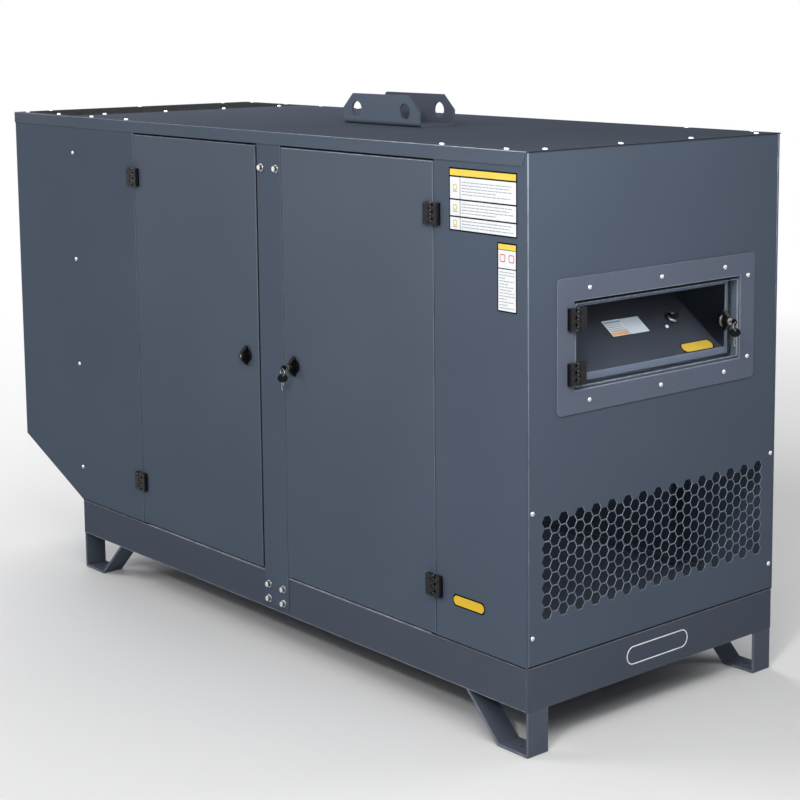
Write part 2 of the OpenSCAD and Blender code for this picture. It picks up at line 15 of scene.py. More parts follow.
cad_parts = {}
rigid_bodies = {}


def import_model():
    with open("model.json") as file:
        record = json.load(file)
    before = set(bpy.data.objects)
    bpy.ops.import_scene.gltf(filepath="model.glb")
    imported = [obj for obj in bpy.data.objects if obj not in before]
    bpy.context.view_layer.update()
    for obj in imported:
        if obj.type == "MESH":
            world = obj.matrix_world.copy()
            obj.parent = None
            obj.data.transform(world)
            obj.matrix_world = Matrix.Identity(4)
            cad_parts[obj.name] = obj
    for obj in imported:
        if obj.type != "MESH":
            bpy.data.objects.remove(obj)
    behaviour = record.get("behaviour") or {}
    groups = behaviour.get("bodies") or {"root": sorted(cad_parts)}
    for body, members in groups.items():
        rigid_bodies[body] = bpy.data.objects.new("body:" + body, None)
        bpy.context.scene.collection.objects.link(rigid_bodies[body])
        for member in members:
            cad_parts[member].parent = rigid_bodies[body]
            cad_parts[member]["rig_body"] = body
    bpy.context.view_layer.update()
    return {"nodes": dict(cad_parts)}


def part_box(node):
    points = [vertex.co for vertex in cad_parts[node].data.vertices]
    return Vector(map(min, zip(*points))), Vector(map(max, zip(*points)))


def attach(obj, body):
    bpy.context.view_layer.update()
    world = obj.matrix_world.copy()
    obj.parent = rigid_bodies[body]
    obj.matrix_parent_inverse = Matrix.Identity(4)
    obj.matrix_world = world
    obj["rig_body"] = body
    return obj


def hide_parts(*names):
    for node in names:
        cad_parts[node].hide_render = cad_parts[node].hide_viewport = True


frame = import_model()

MM = 0.001
X = Vector((1, 0, 0))
Y = Vector((0, 1, 0))
Z = Vector((0, 0, 1))
FLIP_X = Matrix.Scale(-1, 4, X)
FLIP_Y = Matrix.Scale(-1, 4, Y)
BOTH_SIDES = [Matrix.Identity(4), FLIP_Y]


# ----- sizes read from the frame, in millimetres -----

def box(node):
    """Low and high corner of a node's box."""
    return [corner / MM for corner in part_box(node)]


def middle(node):
    return sum(box(node), Vector()) / 2


END_X, HALF_W, END_TOP = box("window_end_panel")[1]
HOOD_X = box("hood_end_panel")[0].x
OUTLET_X, _, FASCIA_Z = box("roof_panel")[0]
_, ROOF_HALF_W, ROOF_Z = box("roof_panel")[1]
BASE_LEFT, _, BASE_Z = box("base_front_rail")[0]
DECK_Z = box("base_front_rail")[1].z
BASE_X = box("base_right_rail")[1].x
BEZEL_X = box("window_frame")[1].x
POST_X = middle("front_post").x
KNOB_Z = middle("front_left_knob").z
RIGHT_KNOB_X = middle("front_right_knob").x
LEFT_KNOB_X = middle("front_left_knob").x
SHEET = 2


# ----- camera -----

CAMERA_PLACE = (3.4356, -2.8182, 1.5112)
CAMERA_AZIMUTH = 48.42
CAMERA_ELEVATION = 7.683
CAMERA_ROLL = -0.298
CAMERA_LENS = 81.58
CAMERA_SHIFT = (-0.08, -0.18)


def spin(angle, axis):
    return Matrix.Rotation(math.radians(angle), 4, axis)


def move(x=0.0, y=0.0, z=0.0):
    return Matrix.Translation((x, y, z))


def linked(name, data):
    """New object in the scene."""
    made = bpy.data.objects.new(name, data)
    bpy.context.scene.collection.objects.link(made)
    return made


def make_camera():
    """Camera at the corner between the doors and the window, a standing person's eye height."""
    data = bpy.data.cameras.new("camera")
    data.sensor_width = 36
    data.lens = CAMERA_LENS
    data.shift_x, data.shift_y = CAMERA_SHIFT
    camera = linked("camera", data)
    camera.matrix_world = (
        move(*CAMERA_PLACE) @ spin(CAMERA_AZIMUTH, "Z")
        @ spin(90 - CAMERA_ELEVATION, "X") @ spin(CAMERA_ROLL, "Z")
    )
    bpy.context.scene.camera = camera


# ----- shader helpers -----

def put(tree, value, socket):
    """Sets a socket to a value, or feeds it from another socket."""
    if isinstance(value, bpy.types.NodeSocket):
        tree.links.new(value, socket)
    else:
        socket.default_value = value


def add_node(tree, kind, output, inputs=(), **settings):
    """Adds a node, and gives one of its outputs."""
    made = tree.nodes.new("ShaderNode" + kind)
    for key, value in settings.items():
        setattr(made, key, value)
    for key, value in dict(inputs).items():
        put(tree, value, made.inputs[key])
    return made.outputs[output]


def scaled(colour, share):
    return [c * share for c in colour] + [1]


LOOKS = {}


class Surface:
    """One material with a Principled shader, and short ways to add nodes to it.

    LOOKS holds the materials by name.
    """

    def __init__(self, name, roughness=0.5, metallic=0.0, specular=0.5):
        LOOKS[name] = bpy.data.materials.new(name)
        LOOKS[name].use_nodes = True
        self.tree = LOOKS[name].node_tree
        self.shader = self.tree.nodes["Principled BSDF"]
        self.set("Roughness", roughness)
        self.set("Metallic", metallic)
        self.set("Specular IOR Level", specular)
        self.place = self.node("TexCoord", "Object")

    def set(self, socket, value):
        put(self.tree, value, self.shader.inputs[socket])

    def node(self, kind, output, inputs=(), **settings):
        return add_node(self.tree, kind, output, inputs, **settings)

    def noise(self, scale, detail=2.0, stretch=(1, 1, 1)):
        """Noise factor around 0.5; scale is in waves per metre, times stretch along each axis."""
        place = self.node("Mapping", "Vector", {"Vector": self.place, "Scale": stretch})
        return self.node("TexNoise", "Fac", {"Vector": place, "Scale": scale, "Detail": detail})

    def remap(self, value, low, high, to_low=0, to_high=1):
        ends = {"From Min": low, "From Max": high, "To Min": to_low, "To Max": to_high}
        return self.node("MapRange", "Result", {"Value": value, **ends})

    def along(self, axis, low, high, to_low=0, to_high=1):
        """Passes from one value to another between two places on an axis."""
        place = self.node("SeparateXYZ", axis, {0: self.place})
        return self.remap(place, low, high, to_low, to_high)

    def times(self, first, second):
        return self.node("Math", 0, {0: first, 1: second}, operation="MULTIPLY")

    def blend(self, factor, first, second):
        return self.node("Mix", 2, {0: factor, 6: first, 7: second}, data_type="RGBA")

    def varied(self, colour, spread, scale):
        """The colour, lighter and darker by a share in soft patches."""
        patches = self.remap(self.noise(scale, 3.0), 0.3, 0.7)
        return self.blend(patches, scaled(colour, 1 - spread), scaled(colour, 1 + spread))

    def rough(self, value, centre, spread):
        """Roughness around a centre, following a noise factor."""
        self.set("Roughness", self.remap(value, 0.3, 0.7, centre - spread, centre + spread))

    def bump(self, height, depth, strength):
        inputs = {"Height": height, "Distance": depth * MM, "Strength": strength}
        self.set("Normal", self.node("Bump", "Normal", inputs))

    def pass_to(self, factor, other):
        """Passes from the Principled shader to another one."""
        shaders = {0: factor, 1: self.shader.outputs["BSDF"], 2: other}
        mixed = self.node("MixShader", "Shader", shaders)
        put(self.tree, mixed, self.tree.nodes["Material Output"].inputs["Surface"])


# ----- materials -----

# Faces marked in the fold attribute carry painted highlight: the share times FOLD_LIGHT lightens
# their paint.
FOLD = "fold"
FOLD_LIGHT = 5.0
# Painted highlight on folds grows along an axis: upward, or towards the window end.
UPWARD = ("Z", 0.3, 1.2, 0.45, 1)
TO_THE_WINDOW = ("X", 0.0, 0.8, 0.5, 1.55)
PATCHES = (0.035, 3.0)


def powder_coat(name, colour, roughness=0.46, highlight_axis=UPWARD, shade=None):
    """Smooth powder coat: fine orange peel, faint patches, and painted highlight on folds.

    The folds' painted highlight grows along an axis, between two places, from one share to another.
    With shade, the paint passes slowly to another colour along an axis, between two places:
    painted light and shade.
    """
    s = Surface(name, roughness, specular=0.0)
    paint = s.varied(colour, *PATCHES)
    if shade:
        *between, far_colour = shade
        paint = s.blend(s.along(*between), paint, s.varied(far_colour, *PATCHES))
    speck = s.remap(s.noise(900, 2.0), 0.62, 0.72, 0, 0.18)
    paint = s.blend(speck, paint, scaled(colour, 1.5))
    # Painted highlight on marked folds and cut edges, stronger in patches and along an axis.
    highlight_share = s.node("Attribute", "Fac", attribute_name=FOLD)
    patchy = s.remap(s.noise(35, 4.0), 0.35, 0.6, 0.5, 1)
    highlight_reach = s.times(patchy, s.along(*highlight_axis))
    grey = sum(colour) / 3
    highlight_colour = scaled([(c + grey) / 2 for c in colour], FOLD_LIGHT)
    s.set("Base Color", s.blend(s.times(highlight_share, highlight_reach), paint, highlight_colour))
    s.rough(s.noise(9, 4.0), roughness, 0.05)
    s.bump(s.noise(520, 3.0), 0.05, 0.35)


def kind(patches, gloss, grain, specular=0.5, metallic=0.0):
    """Maker of one kind of finish.

    Its colour patches are a share and a scale, its gloss a spread and a noise, and its grain a
    depth in millimetres, a strength and a noise.
    """
    def make(name, colour, roughness, specular=specular):
        s = Surface(name, roughness, metallic, specular)
        s.set("Base Color", s.varied(colour, *patches))
        s.rough(s.noise(*gloss[1:]), roughness, gloss[0])
        s.bump(s.noise(*grain[2:]), *grain[:2])

    return make


moulded_plastic = kind((0.2, 60), (0.07, 90, 3.0), (0.06, 0.5, 1800), 0.2)
sponge_rubber = kind((0.3, 120), (0.06, 200), (0.2, 0.6, 900, 3.0), 0.1)
plated_steel = kind((0.12, 180), (0.08, 400, 3.0), (0.02, 0.4, 700, 2.0, (1, 6, 1)), metallic=1.0)
label_film = kind((0.03, 25), (0.06, 60), (0.03, 0.3, 650), 0.1)
# Grey-blue paint on the pane's edges: painted highlight.
painted_edge_highlight = kind((0.2, 40), (0.06, 120), (0.05, 0.4, 300, 2.0, (1, 1, 0.1)))


def clear_plastic(name, tint, roughness):
    """Clear acrylic sheet; shadow rays pass, so that the console behind is lit."""
    s = Surface(name, roughness)
    s.set("Base Color", (*tint, 1))
    s.set("Transmission Weight", 1)
    s.set("IOR", 1.04)
    s.bump(s.noise(6, 2.0), 0.02, 0.2)
    clear = s.node("BsdfTransparent", "BSDF", {"Color": (*tint, 1)})
    s.pass_to(s.node("LightPath", "Is Shadow Ray"), clear)


CANOPY_GREY = (0.078, 0.098, 0.133)
# Lighter and darker copies of the grey, for painted light and shade: door tops lighter, the roof
# lighter at the hood end and darker at the window end.
DOOR_TOP_LIT_GREY = (0.093, 0.112, 0.146)
ROOF_HOOD_LIT_GREY = (0.094, 0.110, 0.142)
ROOF_END_SHADE_GREY = (0.067, 0.079, 0.101)

DOOR_SHADE = ("Z", 0.35, 1.15, DOOR_TOP_LIT_GREY)
ROOF_SHADE = ("X", -1.1, 0.85, ROOF_END_SHADE_GREY)

for make, finishes in (
    (powder_coat, (
        ("canopy_paint", CANOPY_GREY),
        # Doors lighter towards the top, the roof lighter towards the hood end: painted light and
        # shade.
        ("door_paint", CANOPY_GREY, 0.46, UPWARD, DOOR_SHADE),
        ("roof_paint", ROOF_HOOD_LIT_GREY, 0.5, TO_THE_WINDOW, ROOF_SHADE),
        # Lighter copy of the grey on the roof's upright flanges: painted light.
        ("fascia_paint", (0.087, 0.108, 0.143), 0.46, TO_THE_WINDOW),
        # Lighter paint on the raised outline: painted highlight.
        ("outline_paint", (0.160, 0.165, 0.175)),
        ("outlet_paint", (0.046, 0.048, 0.052), 0.5),
        ("base_paint", (0.072, 0.084, 0.112)),
        # Lighter copy of the base grey on the feet: painted light.
        ("foot_paint", (0.086, 0.099, 0.130)),
        # Near-black paint in gaps, on the roof's cut edge and inside the canopy: painted shade.
        ("inner_paint", (0.026, 0.030, 0.036), 0.6),
        ("frame_paint", (0.112, 0.130, 0.176), 0.44),
        # Lighter and darker copies of the grey on the lifting bracket: painted light and painted
        # shade.
        ("bracket_paint", (0.116, 0.142, 0.186)),
        ("bracket_inside", (0.088, 0.099, 0.132), 0.55),
        # Canopy grey darkened for the window's recess: painted shade.
        ("console_paint", (0.040, 0.045, 0.059), 0.5),
    )),
    (moulded_plastic, (
        ("black_plastic", (0.0105, 0.0090, 0.0115), 0.36),
        ("black_gloss", (0.004, 0.004, 0.0045), 0.20, 0.25),
        ("knob_black", (0.004, 0.004, 0.0045), 0.24, 0.12),
        ("deep_black", (0.003, 0.003, 0.003), 0.8),
    )),
    (sponge_rubber, (
        ("seal_rubber", (0.012, 0.012, 0.013), 0.85),
        ("grey_foam", (0.075, 0.090, 0.120), 0.85),
        ("grey_rubber", (0.030, 0.034, 0.042), 0.85),
    )),
    (plated_steel, (
        ("zinc", (0.70, 0.71, 0.72), 0.26),
        ("chrome", (0.86, 0.86, 0.86), 0.14),
        ("key_steel", (0.34, 0.34, 0.34), 0.3),
        ("ring_steel", (0.50, 0.50, 0.50), 0.25),
        ("bolt_steel", (0.26, 0.27, 0.28), 0.35),
        ("lock_steel", (0.075, 0.065, 0.062), 0.34),
    )),
    (clear_plastic, [("clear_sheet", (0.93, 0.95, 0.96), 0.02)]),
    (painted_edge_highlight, [("pane_rim", (0.24, 0.28, 0.31), 0.25)]),
    (label_film, (
        ("white_film", (0.80, 0.81, 0.83), 0.5),
        ("yellow_film", (0.80, 0.60, 0.10), 0.5),
        ("badge_yellow", (0.74, 0.48, 0.035), 0.5),
        ("shaded_yellow", (0.50, 0.33, 0.045), 0.5),
        ("black_ink", (0.006, 0.006, 0.007), 0.6, 0.0),
        ("grey_ink", (0.34, 0.36, 0.40), 0.5),
        ("icon_ink", (0.68, 0.58, 0.08), 0.5),
        ("red_ink", (0.62, 0.09, 0.09), 0.5),
        ("orange_ink", (0.88, 0.40, 0.20), 0.5),
        ("blue_ink", (0.30, 0.45, 0.62), 0.5),
        ("pale_film", (0.66, 0.72, 0.78), 0.5),
    )),
):
    for finish in finishes:
        make(*finish)


# ----- places -----

def facing(point, across, up):
    """Matrix that puts local X and Y along two directions and local Z out of the face."""
    return Matrix.Translation(point) @ Matrix((across, up, across.cross(up))).transposed().to_4x4()


def on_front(x, z):
    return facing(Vector((x, -HALF_W, z)), X, Z)


def on_back(x, z):
    return facing(Vector((x, HALF_W, z)), -X, Z)


def on_end(y, z, x=END_X):
    return facing(Vector((x, y, z)), Y, Z)


def on_roof(x, y):
    return facing(Vector((x, y, ROOF_Z)), X, Y)


def on_console(y, distance):
    """Place on the console's face, at a distance up its slope."""
    mesh = frame["nodes"]["control_console"].data
    slanted = [f for f in mesh.polygons if f.normal.x > 0.3 and f.normal.z > 0.3]
    normal = max(slanted, key=lambda f: f.area).normal.normalized()
    foot = min((mesh.vertices[v].co for f in slanted for v in f.vertices), key=lambda p: p.z) / MM
    up = normal.cross(Y)
    return facing(Vector((foot.x, y, foot.z)) + up * distance, Y, up)


# ----- outlines and forms -----

def spread(low, high, count):
    """Evenly spaced values from low to high."""
    return [low + (high - low) * i / (count - 1) for i in range(count)]


def oval(width, height, steps=32):
    """Outline of an ellipse about the origin, anticlockwise."""
    angles = [2 * math.pi * i / steps for i in range(steps)]
    return [Vector((width / 2 * math.cos(a), height / 2 * math.sin(a))) for a in angles]


def circle(radius, steps):
    return oval(2 * radius, 2 * radius, steps)


def rectangle(low_x, low_y, high_x, high_y):
    return [(low_x, low_y), (high_x, low_y), (high_x, high_y), (low_x, high_y)]


def rounded_box(width, height, radius, steps=5):
    """Outline of a rounded rectangle about the origin, anticlockwise."""
    outline = []
    for corner, (sign_x, sign_y) in enumerate(((1, 1), (-1, 1), (-1, -1), (1, -1))):
        centre = Vector((sign_x * (width / 2 - radius), sign_y * (height / 2 - radius)))
        for step in range(steps + 1):
            angle = math.pi / 2 * (corner + step / steps)
            outline.append(centre + radius * Vector((math.cos(angle), math.sin(angle))))
    return outline


def close_ring(form, ring, following):
    """Faces between two rings of points, either of which may be a single point."""
    count = max(len(ring), len(following))
    for i in range(count):
        j = (i + 1) % count
        around = []
        for vert in (
            ring[i % len(ring)], ring[j % len(ring)],
            following[j % len(following)], following[i % len(following)],
        ):
            if vert not in around:
                around.append(vert)
        form.faces.new(around)


def skinned(rings, endless=False):
    """Form over rings of points, closed at both ends or joined end to end."""
    form = bmesh.new()
    form.faces.layers.float.new(FOLD)
    rings = [[form.verts.new(point) for point in ring] for ring in rings]
    for ring, following in zip(rings, rings[1:] + rings[:1] if endless else rings[1:]):
        close_ring(form, ring, following)
    if not endless:
        for ring in (rings[0][::-1], rings[-1]):
            if len(ring) > 1:
                form.faces.new(ring)
    return form


def prism(outline, low, high):
    """Form with the given outline between two heights."""
    return skinned([[(p[0], p[1], height) for p in outline] for height in (low, high)])


def block(low, high, radius=0, segments=2):
    """Box from one corner to the other, whose edges may be rounded."""
    form = prism(rectangle(*low[:2], *high[:2]), low[2], high[2])
    return soften(form, radius, segments) if radius else form


def band(outer, inner, low, high):
    """Closed frame between two outlines with as many points, between two heights."""
    edges = ((outer, low), (outer, high), (inner, high), (inner, low))
    return skinned([[(*p, height) for p in outline] for outline, height in edges], True)


def turned(profile, steps=32):
    """Form turned about Z from (radius, height) points."""
    return skinned([
        [(*p, height) for p in circle(radius, steps if radius > 0 else 1)]
        for radius, height in profile
    ])


def ring_tube(radius, wire, steps=40, sides=10):
    """Closed wire ring about Z."""
    return skinned([
        [(*(out * (radius + p.x)), p.y) for p in circle(wire / 2, sides)]
        for out in circle(1, steps)
    ], True)


def bevel(form, edges, radius, segments):
    """Rounds edges, and gives the new faces."""
    return bmesh.ops.bevel(
        form, geom=edges, offset=radius, segments=segments, profile=0.5,
        affect="EDGES", clamp_overlap=True,
    )["faces"]


def soften(form, radius, segments=2, sharper_than=30):
    """Rounds a form's sharp edges."""
    form.normal_update()
    limit = math.radians(sharper_than)
    bevel(
        form, [e for e in form.edges if e.is_manifold and e.calc_face_angle() > limit],
        radius, segments,
    )
    return form


def paint_highlight(form, faces, share):
    """Marks faces with painted highlight by a share."""
    highlight_share = form.faces.layers.float[FOLD]
    for face in faces:
        face[highlight_share] = share


class Piece:
    """A mesh put together from forms, each with its places and a material."""

    def __init__(self, main_material):
        self.form = bmesh.new()
        self.form.faces.layers.float.new(FOLD)
        self.materials = [main_material]

    def add(self, form, places=Matrix.Identity(4), material=None):
        """Adds a form at a place or at each place of a list."""
        if material and material not in self.materials:
            self.materials.append(material)
        number = self.materials.index(material) if material else 0
        bmesh.ops.recalc_face_normals(form, faces=form.faces)
        for face in form.faces:
            face.material_index = number
        for place in places if isinstance(places, list) else [places]:
            mesh = bpy.data.meshes.new("form")
            form.to_mesh(mesh)
            mesh.transform(place)
            self.form.from_mesh(mesh)
            bpy.data.meshes.remove(mesh)
        form.free()
        return self

    def done(self, name, slot, *nodes, body="root", smooth=35):
        """Makes the object, which rides on a body and may stand for CAD nodes."""
        self.form.transform(Matrix.Scale(MM, 4))
        show(name, self.form, self.materials, body, nodes, smooth)


def paint_with(mesh, *materials):
    for name in materials:
        mesh.materials.append(LOOKS[name])


def show(name, form, materials, body, nodes, smooth=35):
    """Makes a form a piece of the object."""
    mesh = bpy.data.meshes.new(name)
    form.to_mesh(mesh)
    form.free()
    paint_with(mesh, *materials)
    for stale in ("custom_normal", "sharp_face", "sharp_edge"):
        if stale in mesh.attributes:
            mesh.attributes.remove(mesh.attributes[stale])
    mesh.polygons.foreach_set("use_smooth", [True] * len(mesh.polygons))
    mesh.set_sharp_from_angle(angle=math.radians(smooth))
    piece = linked(name, mesh)
    weighted = piece.modifiers.new("weighted_normals", "WEIGHTED_NORMAL")
    weighted.keep_sharp = True
    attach(piece, body)
    if nodes:
        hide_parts(*nodes)
    return mesh


# ----- folded and perforated sheets -----

WIDE = 5.5 * MM
FOOT_H = 10
FOLD_BEND = 0.6
CUT_BEND = 0.9
UPRIGHT_RISE = 0.7
CUT_SHARE = 0.8


def wide(face):
    """True for a face that is wider than a sheet's cut edge."""
    return 2 * face.calc_area() / face.calc_perimeter() > WIDE


def refined(
    node, slot, paint=None, fold=2, edge=0.4, segments=3, light=0.42, upright=0.26, lift=0,
):
    """Stands for a CAD node: folds between its wide faces are rounded, cut edges are eased.

    Both radii are in millimetres. The folds carry painted highlight, lighter by a share, which is
    smaller on upright ones; cut edges carry a part of it. A panel's foot may be lifted off the deck
    by its gasket.
    """
    form = bmesh.new()
    form.from_mesh(frame["nodes"][node].data)
    for vert in form.verts:
        if vert.co.z < (DECK_Z + FOOT_H) * MM:
            vert.co.z += lift * MM
    bmesh.ops.remove_doubles(form, verts=form.verts, dist=0.01 * MM)
    bmesh.ops.dissolve_limit(
        form, angle_limit=math.radians(0.5), verts=form.verts, edges=form.edges,
    )
    highlight_share = form.faces.layers.float.new(FOLD)

    def bent(limit):
        form.normal_update()
        return [e for e in form.edges if e.is_manifold and e.calc_face_angle_signed() > limit]

    folds = [e for e in bent(FOLD_BEND) if all(wide(f) for f in e.link_faces)]
    # Folds get painted highlight, a smaller share on upright ones; cut edges get a part of it.
    for face in bevel(form, folds, fold * MM, segments):
        start, end = max(face.edges, key=lambda e: e.calc_length()).verts
        rise = abs((start.co - end.co).normalized().z)
        face[highlight_share] = upright if rise > UPRIGHT_RISE else light
    cuts = [e for e in bent(CUT_BEND) if not any(f[highlight_share] for f in e.link_faces)]
    paint_highlight(form, bevel(form, cuts, edge * MM, 1), CUT_SHARE * light)
    body = frame["nodes"][node]["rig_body"]
    return show(node + "_sheet", form, [paint or slot], body, [node])


CUT_EASE = 0.35
# Painted highlight on the cut edges of pierced sheets.
RIM_LIGHT = 2.0


def pierced(outline, holes, thickness, rim=CUT_EASE, light=RIM_LIGHT):
    """Form of a flat sheet with holes, from height 0 up, with eased cut edges that carry painted
    highlight.
    """
    curve = bpy.data.curves.new("outline", "CURVE")
    curve.dimensions = "2D"
    curve.fill_mode = "BOTH"
    curve.extrude = (thickness / 2 - rim) * MM
    curve.bevel_depth = rim * MM
    curve.bevel_resolution = 0
    for points in [outline] + holes:
        spline = curve.splines.new("POLY")
        spline.points.add(len(points) - 1)
        for point, place in zip(spline.points, points):
            point.co = (place[0] * MM, place[1] * MM, 0, 1)
        spline.use_cyclic_u = True
    holder = bpy.data.objects.new("outline", curve)
    mesh = bpy.data.meshes.new_from_object(holder)
    form = bmesh.new()
    form.from_mesh(mesh)
    bmesh.ops.remove_doubles(form, verts=form.verts, dist=0.001 * MM)
    form.transform(Matrix.Scale(1 / MM, 4))
    bmesh.ops.translate(form, verts=form.verts, vec=(0, 0, thickness / 2))
    form.faces.layers.float.new(FOLD)
    form.normal_update()
    # Painted highlight on the slanted cut-edge faces.
    paint_highlight(form, [f for f in form.faces if 0.2 < abs(f.normal.z) < 0.95], light)
    bpy.data.objects.remove(holder)
    bpy.data.curves.remove(curve)
    bpy.data.meshes.remove(mesh)
    return form


HEX_ACROSS = 25
HEX_PITCH = 27.4
HEX_COLUMNS = 29
HEX_ROWS = 8
INTAKE_UP = 92


def hexagons(centre, along, across):
    """Outlines of the hexagon field; columns run in the first direction, odd ones fuller."""
    holes = []
    corners = circle(HEX_ACROSS / math.sqrt(3) + CUT_EASE, 6)
    column_pitch = HEX_PITCH * math.sqrt(3) / 2
    for column in range(HEX_COLUMNS):
        count = HEX_ROWS - column % 2
        for row in range(count):
            place = (
                centre + along * (column - (HEX_COLUMNS - 1) / 2) * column_pitch
                + across * (row - (count - 1) / 2) * HEX_PITCH
            )
            holes.append([place + p.x * along + p.y * across for p in corners])
    return holes


CORNER_BAR = 5.6
CORNER_LIP = 1.8
CORNER_SEAM = 1.0
LIP_STEPS = 12
LIP_HIGHLIGHT_FROM = 620
LIP_HIGHLIGHT_OVER = 550
END_GAP = 4
SIDE_GAP = 3.2


def corner_flanges(piece):
    """Long sides' flanges on the window end, with lips whose painted highlight grows towards the
    roof.
    """
    lip = HALF_W - CORNER_BAR + CORNER_LIP
    low_x = END_X - SHEET
    piece.add(block((low_x, lip, DECK_Z), (END_X, HALF_W, END_TOP), 0.6, 3), BOTH_SIDES)
    heights = spread(DECK_Z, END_TOP, LIP_STEPS + 1)
    for low, high in zip(heights, heights[1:]):
        part = block((low_x, lip - CORNER_LIP, low), (END_X, lip, high))
        # Painted highlight on the lip, growing with height near the roof.
        share = max(0, (low + high) / 2 - LIP_HIGHLIGHT_FROM) / LIP_HIGHLIGHT_OVER
        paint_highlight(part, part.faces, 1.1 * share ** 1.6)
        piece.add(part, BOTH_SIDES)


RECESS_HALF_W = 521 / 2
RECESS_HALF_H = 189 / 2


def window_end():
    """One sheet from the roof to the deck, with the window's cut-out and the intake grille."""
    half = HALF_W - CORNER_BAR - CORNER_SEAM - CUT_EASE
    outline = rectangle(-half, DECK_Z + END_GAP + CUT_EASE, half, END_TOP - CUT_EASE)
    recess_w, recess_h = RECESS_HALF_W + CUT_EASE, RECESS_HALF_H + CUT_EASE
    window_z = middle("window_frame").z
    cut_out = rectangle(-recess_w, window_z - recess_h, recess_w, window_z + recess_h)
    centre = Vector((0, DECK_Z + INTAKE_UP + HEX_ROWS * HEX_PITCH / 2))
    holes = hexagons(centre, Vector((1, 0)), Vector((0, 1)))
    piece = Piece("canopy_paint")
    piece.add(pierced(outline, [cut_out] + holes, SHEET), on_end(0, 0, END_X - SHEET))
    corner_flanges(piece)
    piece.done(
        "window_end_sheet", "canopy_paint", "window_end_panel", "intake_grille", smooth=20,
    )


OUTLET_RIM = 20
OUTLET_MIDDLE = 150
# Painted highlight on the outlet grille's hole edges and on its tray's folds.
OUTLET_RIM_LIGHT = 0.3
OUTLET_FOLD_LIGHT = 0.5


def outlet_grille():
    """Perforated sheet over the hood in a folded tray with three flanges."""
    end_x, half = box("air_outlet_grille")[0].x, ROOF_HALF_W
    rim_x, rim_y = end_x + OUTLET_RIM, half - OUTLET_RIM
    in_x, in_y = end_x + SHEET, half - SHEET
    under = ROOF_Z - SHEET
    eased_y = rim_y - CUT_EASE
    outline = rectangle(rim_x + CUT_EASE, -eased_y, OUTLET_X - CUT_EASE, eased_y)
    holes = hexagons(Vector((in_x + OUTLET_MIDDLE, 0)), Vector((0, 1)), Vector((-1, 0)))
    piece = Piece("roof_paint")
    grille = pierced(outline, holes, SHEET, light=OUTLET_RIM_LIGHT)
    piece.add(grille, move(z=under), "outlet_paint")

    tray = bmesh.new()
    tray.faces.layers.float.new(FOLD)
    rings = [
        [tray.verts.new((*p, z)) for p in ((OUTLET_X, -y), (x, -y), (x, y), (OUTLET_X, y))]
        for x, y, z in (
            (end_x, half, FASCIA_Z), (end_x, half, ROOF_Z), (rim_x, rim_y, ROOF_Z),
            (rim_x, rim_y, under), (in_x, in_y, under), (in_x, in_y, FASCIA_Z),
        )
    ]
    for ring, following in zip(rings, rings[1:] + rings[:1]):
        for i in range(3):
            tray.faces.new((ring[i], ring[i + 1], following[i + 1], following[i]))
    for i in (0, 3):
        tray.faces.new([ring[i] for ring in rings])
    bmesh.ops.recalc_face_normals(tray, faces=tray.faces)
    foot, top = rings[:2]
    bends = [*zip(top, top[1:]), (foot[1], top[1]), (foot[2], top[2]), (foot[1], foot[2])]
    folds = [tray.edges.get(ends) for ends in bends]
    # The tray's folds carry painted highlight.
    paint_highlight(tray, bevel(tray, folds, 2, 3), OUTLET_FOLD_LIGHT)
    piece.add(tray)
    piece.done("outlet_grille_sheet", "canopy_paint", "air_outlet_grille", smooth=25)


# ----- fasteners -----

SCREW = (
    (5.5, 0), (5.5, 0.9), (5.2, 2.1), (4.4, 3.1), (3.2, 3.7), (2.0, 3.9), (1.7, 2.2), (0, 2.0),
)
SCREW_TURN = 37
BOLT_ACROSS = 13
BOLT_TURN = 23
WASHER = ((9, 0), (9, 1.2), (8.7, 1.6), (0, 1.6))
# Thin chrome cap on the bolt head: painted highlight.
BOLT_TOP = ((5.9, 8), (5.6, 8.3), (0, 8.3))


def turned_on(places, angle):
    """The places, each turned a bit further than the one before."""
    return [place @ spin(angle * i, "Z") for i, place in enumerate(places)]


def fasten(name, places):
    """One piece with a round socket screw at each place."""
    Piece("zinc").add(turned(SCREW, 24), turned_on(places, SCREW_TURN)).done(name, "zinc")


ROOF_INSET = 14
ROOF_FROM_END = (69, 264)
ROOF_FROM_HOOD = 51
ROOF_PITCH = 172.5
ROOF_ROWS = (
    (END_X - ROOF_INSET, 325, 4), (OUTLET_X + 12, 289, 4), (HOOD_X + 21, 290, 3),
)
SIDE_X = OUTLET_X + 13.5
SIDE_HEIGHTS = (DECK_Z + 94, ROOF_Z - 97)
END_INSET = 16
END_HEIGHTS = (ROOF_Z - 728, ROOF_Z - 988)


def canopy_screws():
    """Screws along the roof's edges, at the hood on both long sides, and on the window end."""
    xs = [END_X - x for x in ROOF_FROM_END]
    xs += [HOOD_X + ROOF_FROM_HOOD + ROOF_PITCH * i for i in range(4)]
    roof = [on_roof(x, side * (ROOF_HALF_W - ROOF_INSET)) for x in xs for side in (-1, 1)]
    for x, reach, count in ROOF_ROWS:
        roof += [on_roof(x, y) for y in spread(-reach, reach, count)]
    fasten("roof_screws", roof)
    sides = [face(SIDE_X, z) for face in (on_front, on_back) for z in spread(*SIDE_HEIGHTS, 4)]
    fasten("side_panel_screws", sides)
    end_y = HALF_W - END_INSET
    fasten("end_panel_screws", [on_end(y, z) for y in (-end_y, end_y) for z in END_HEIGHTS])


BEZEL_YS = (-216, 0, 204)
BEZEL_INSET = 24.5
BEZEL_SIDE_REACH = 91


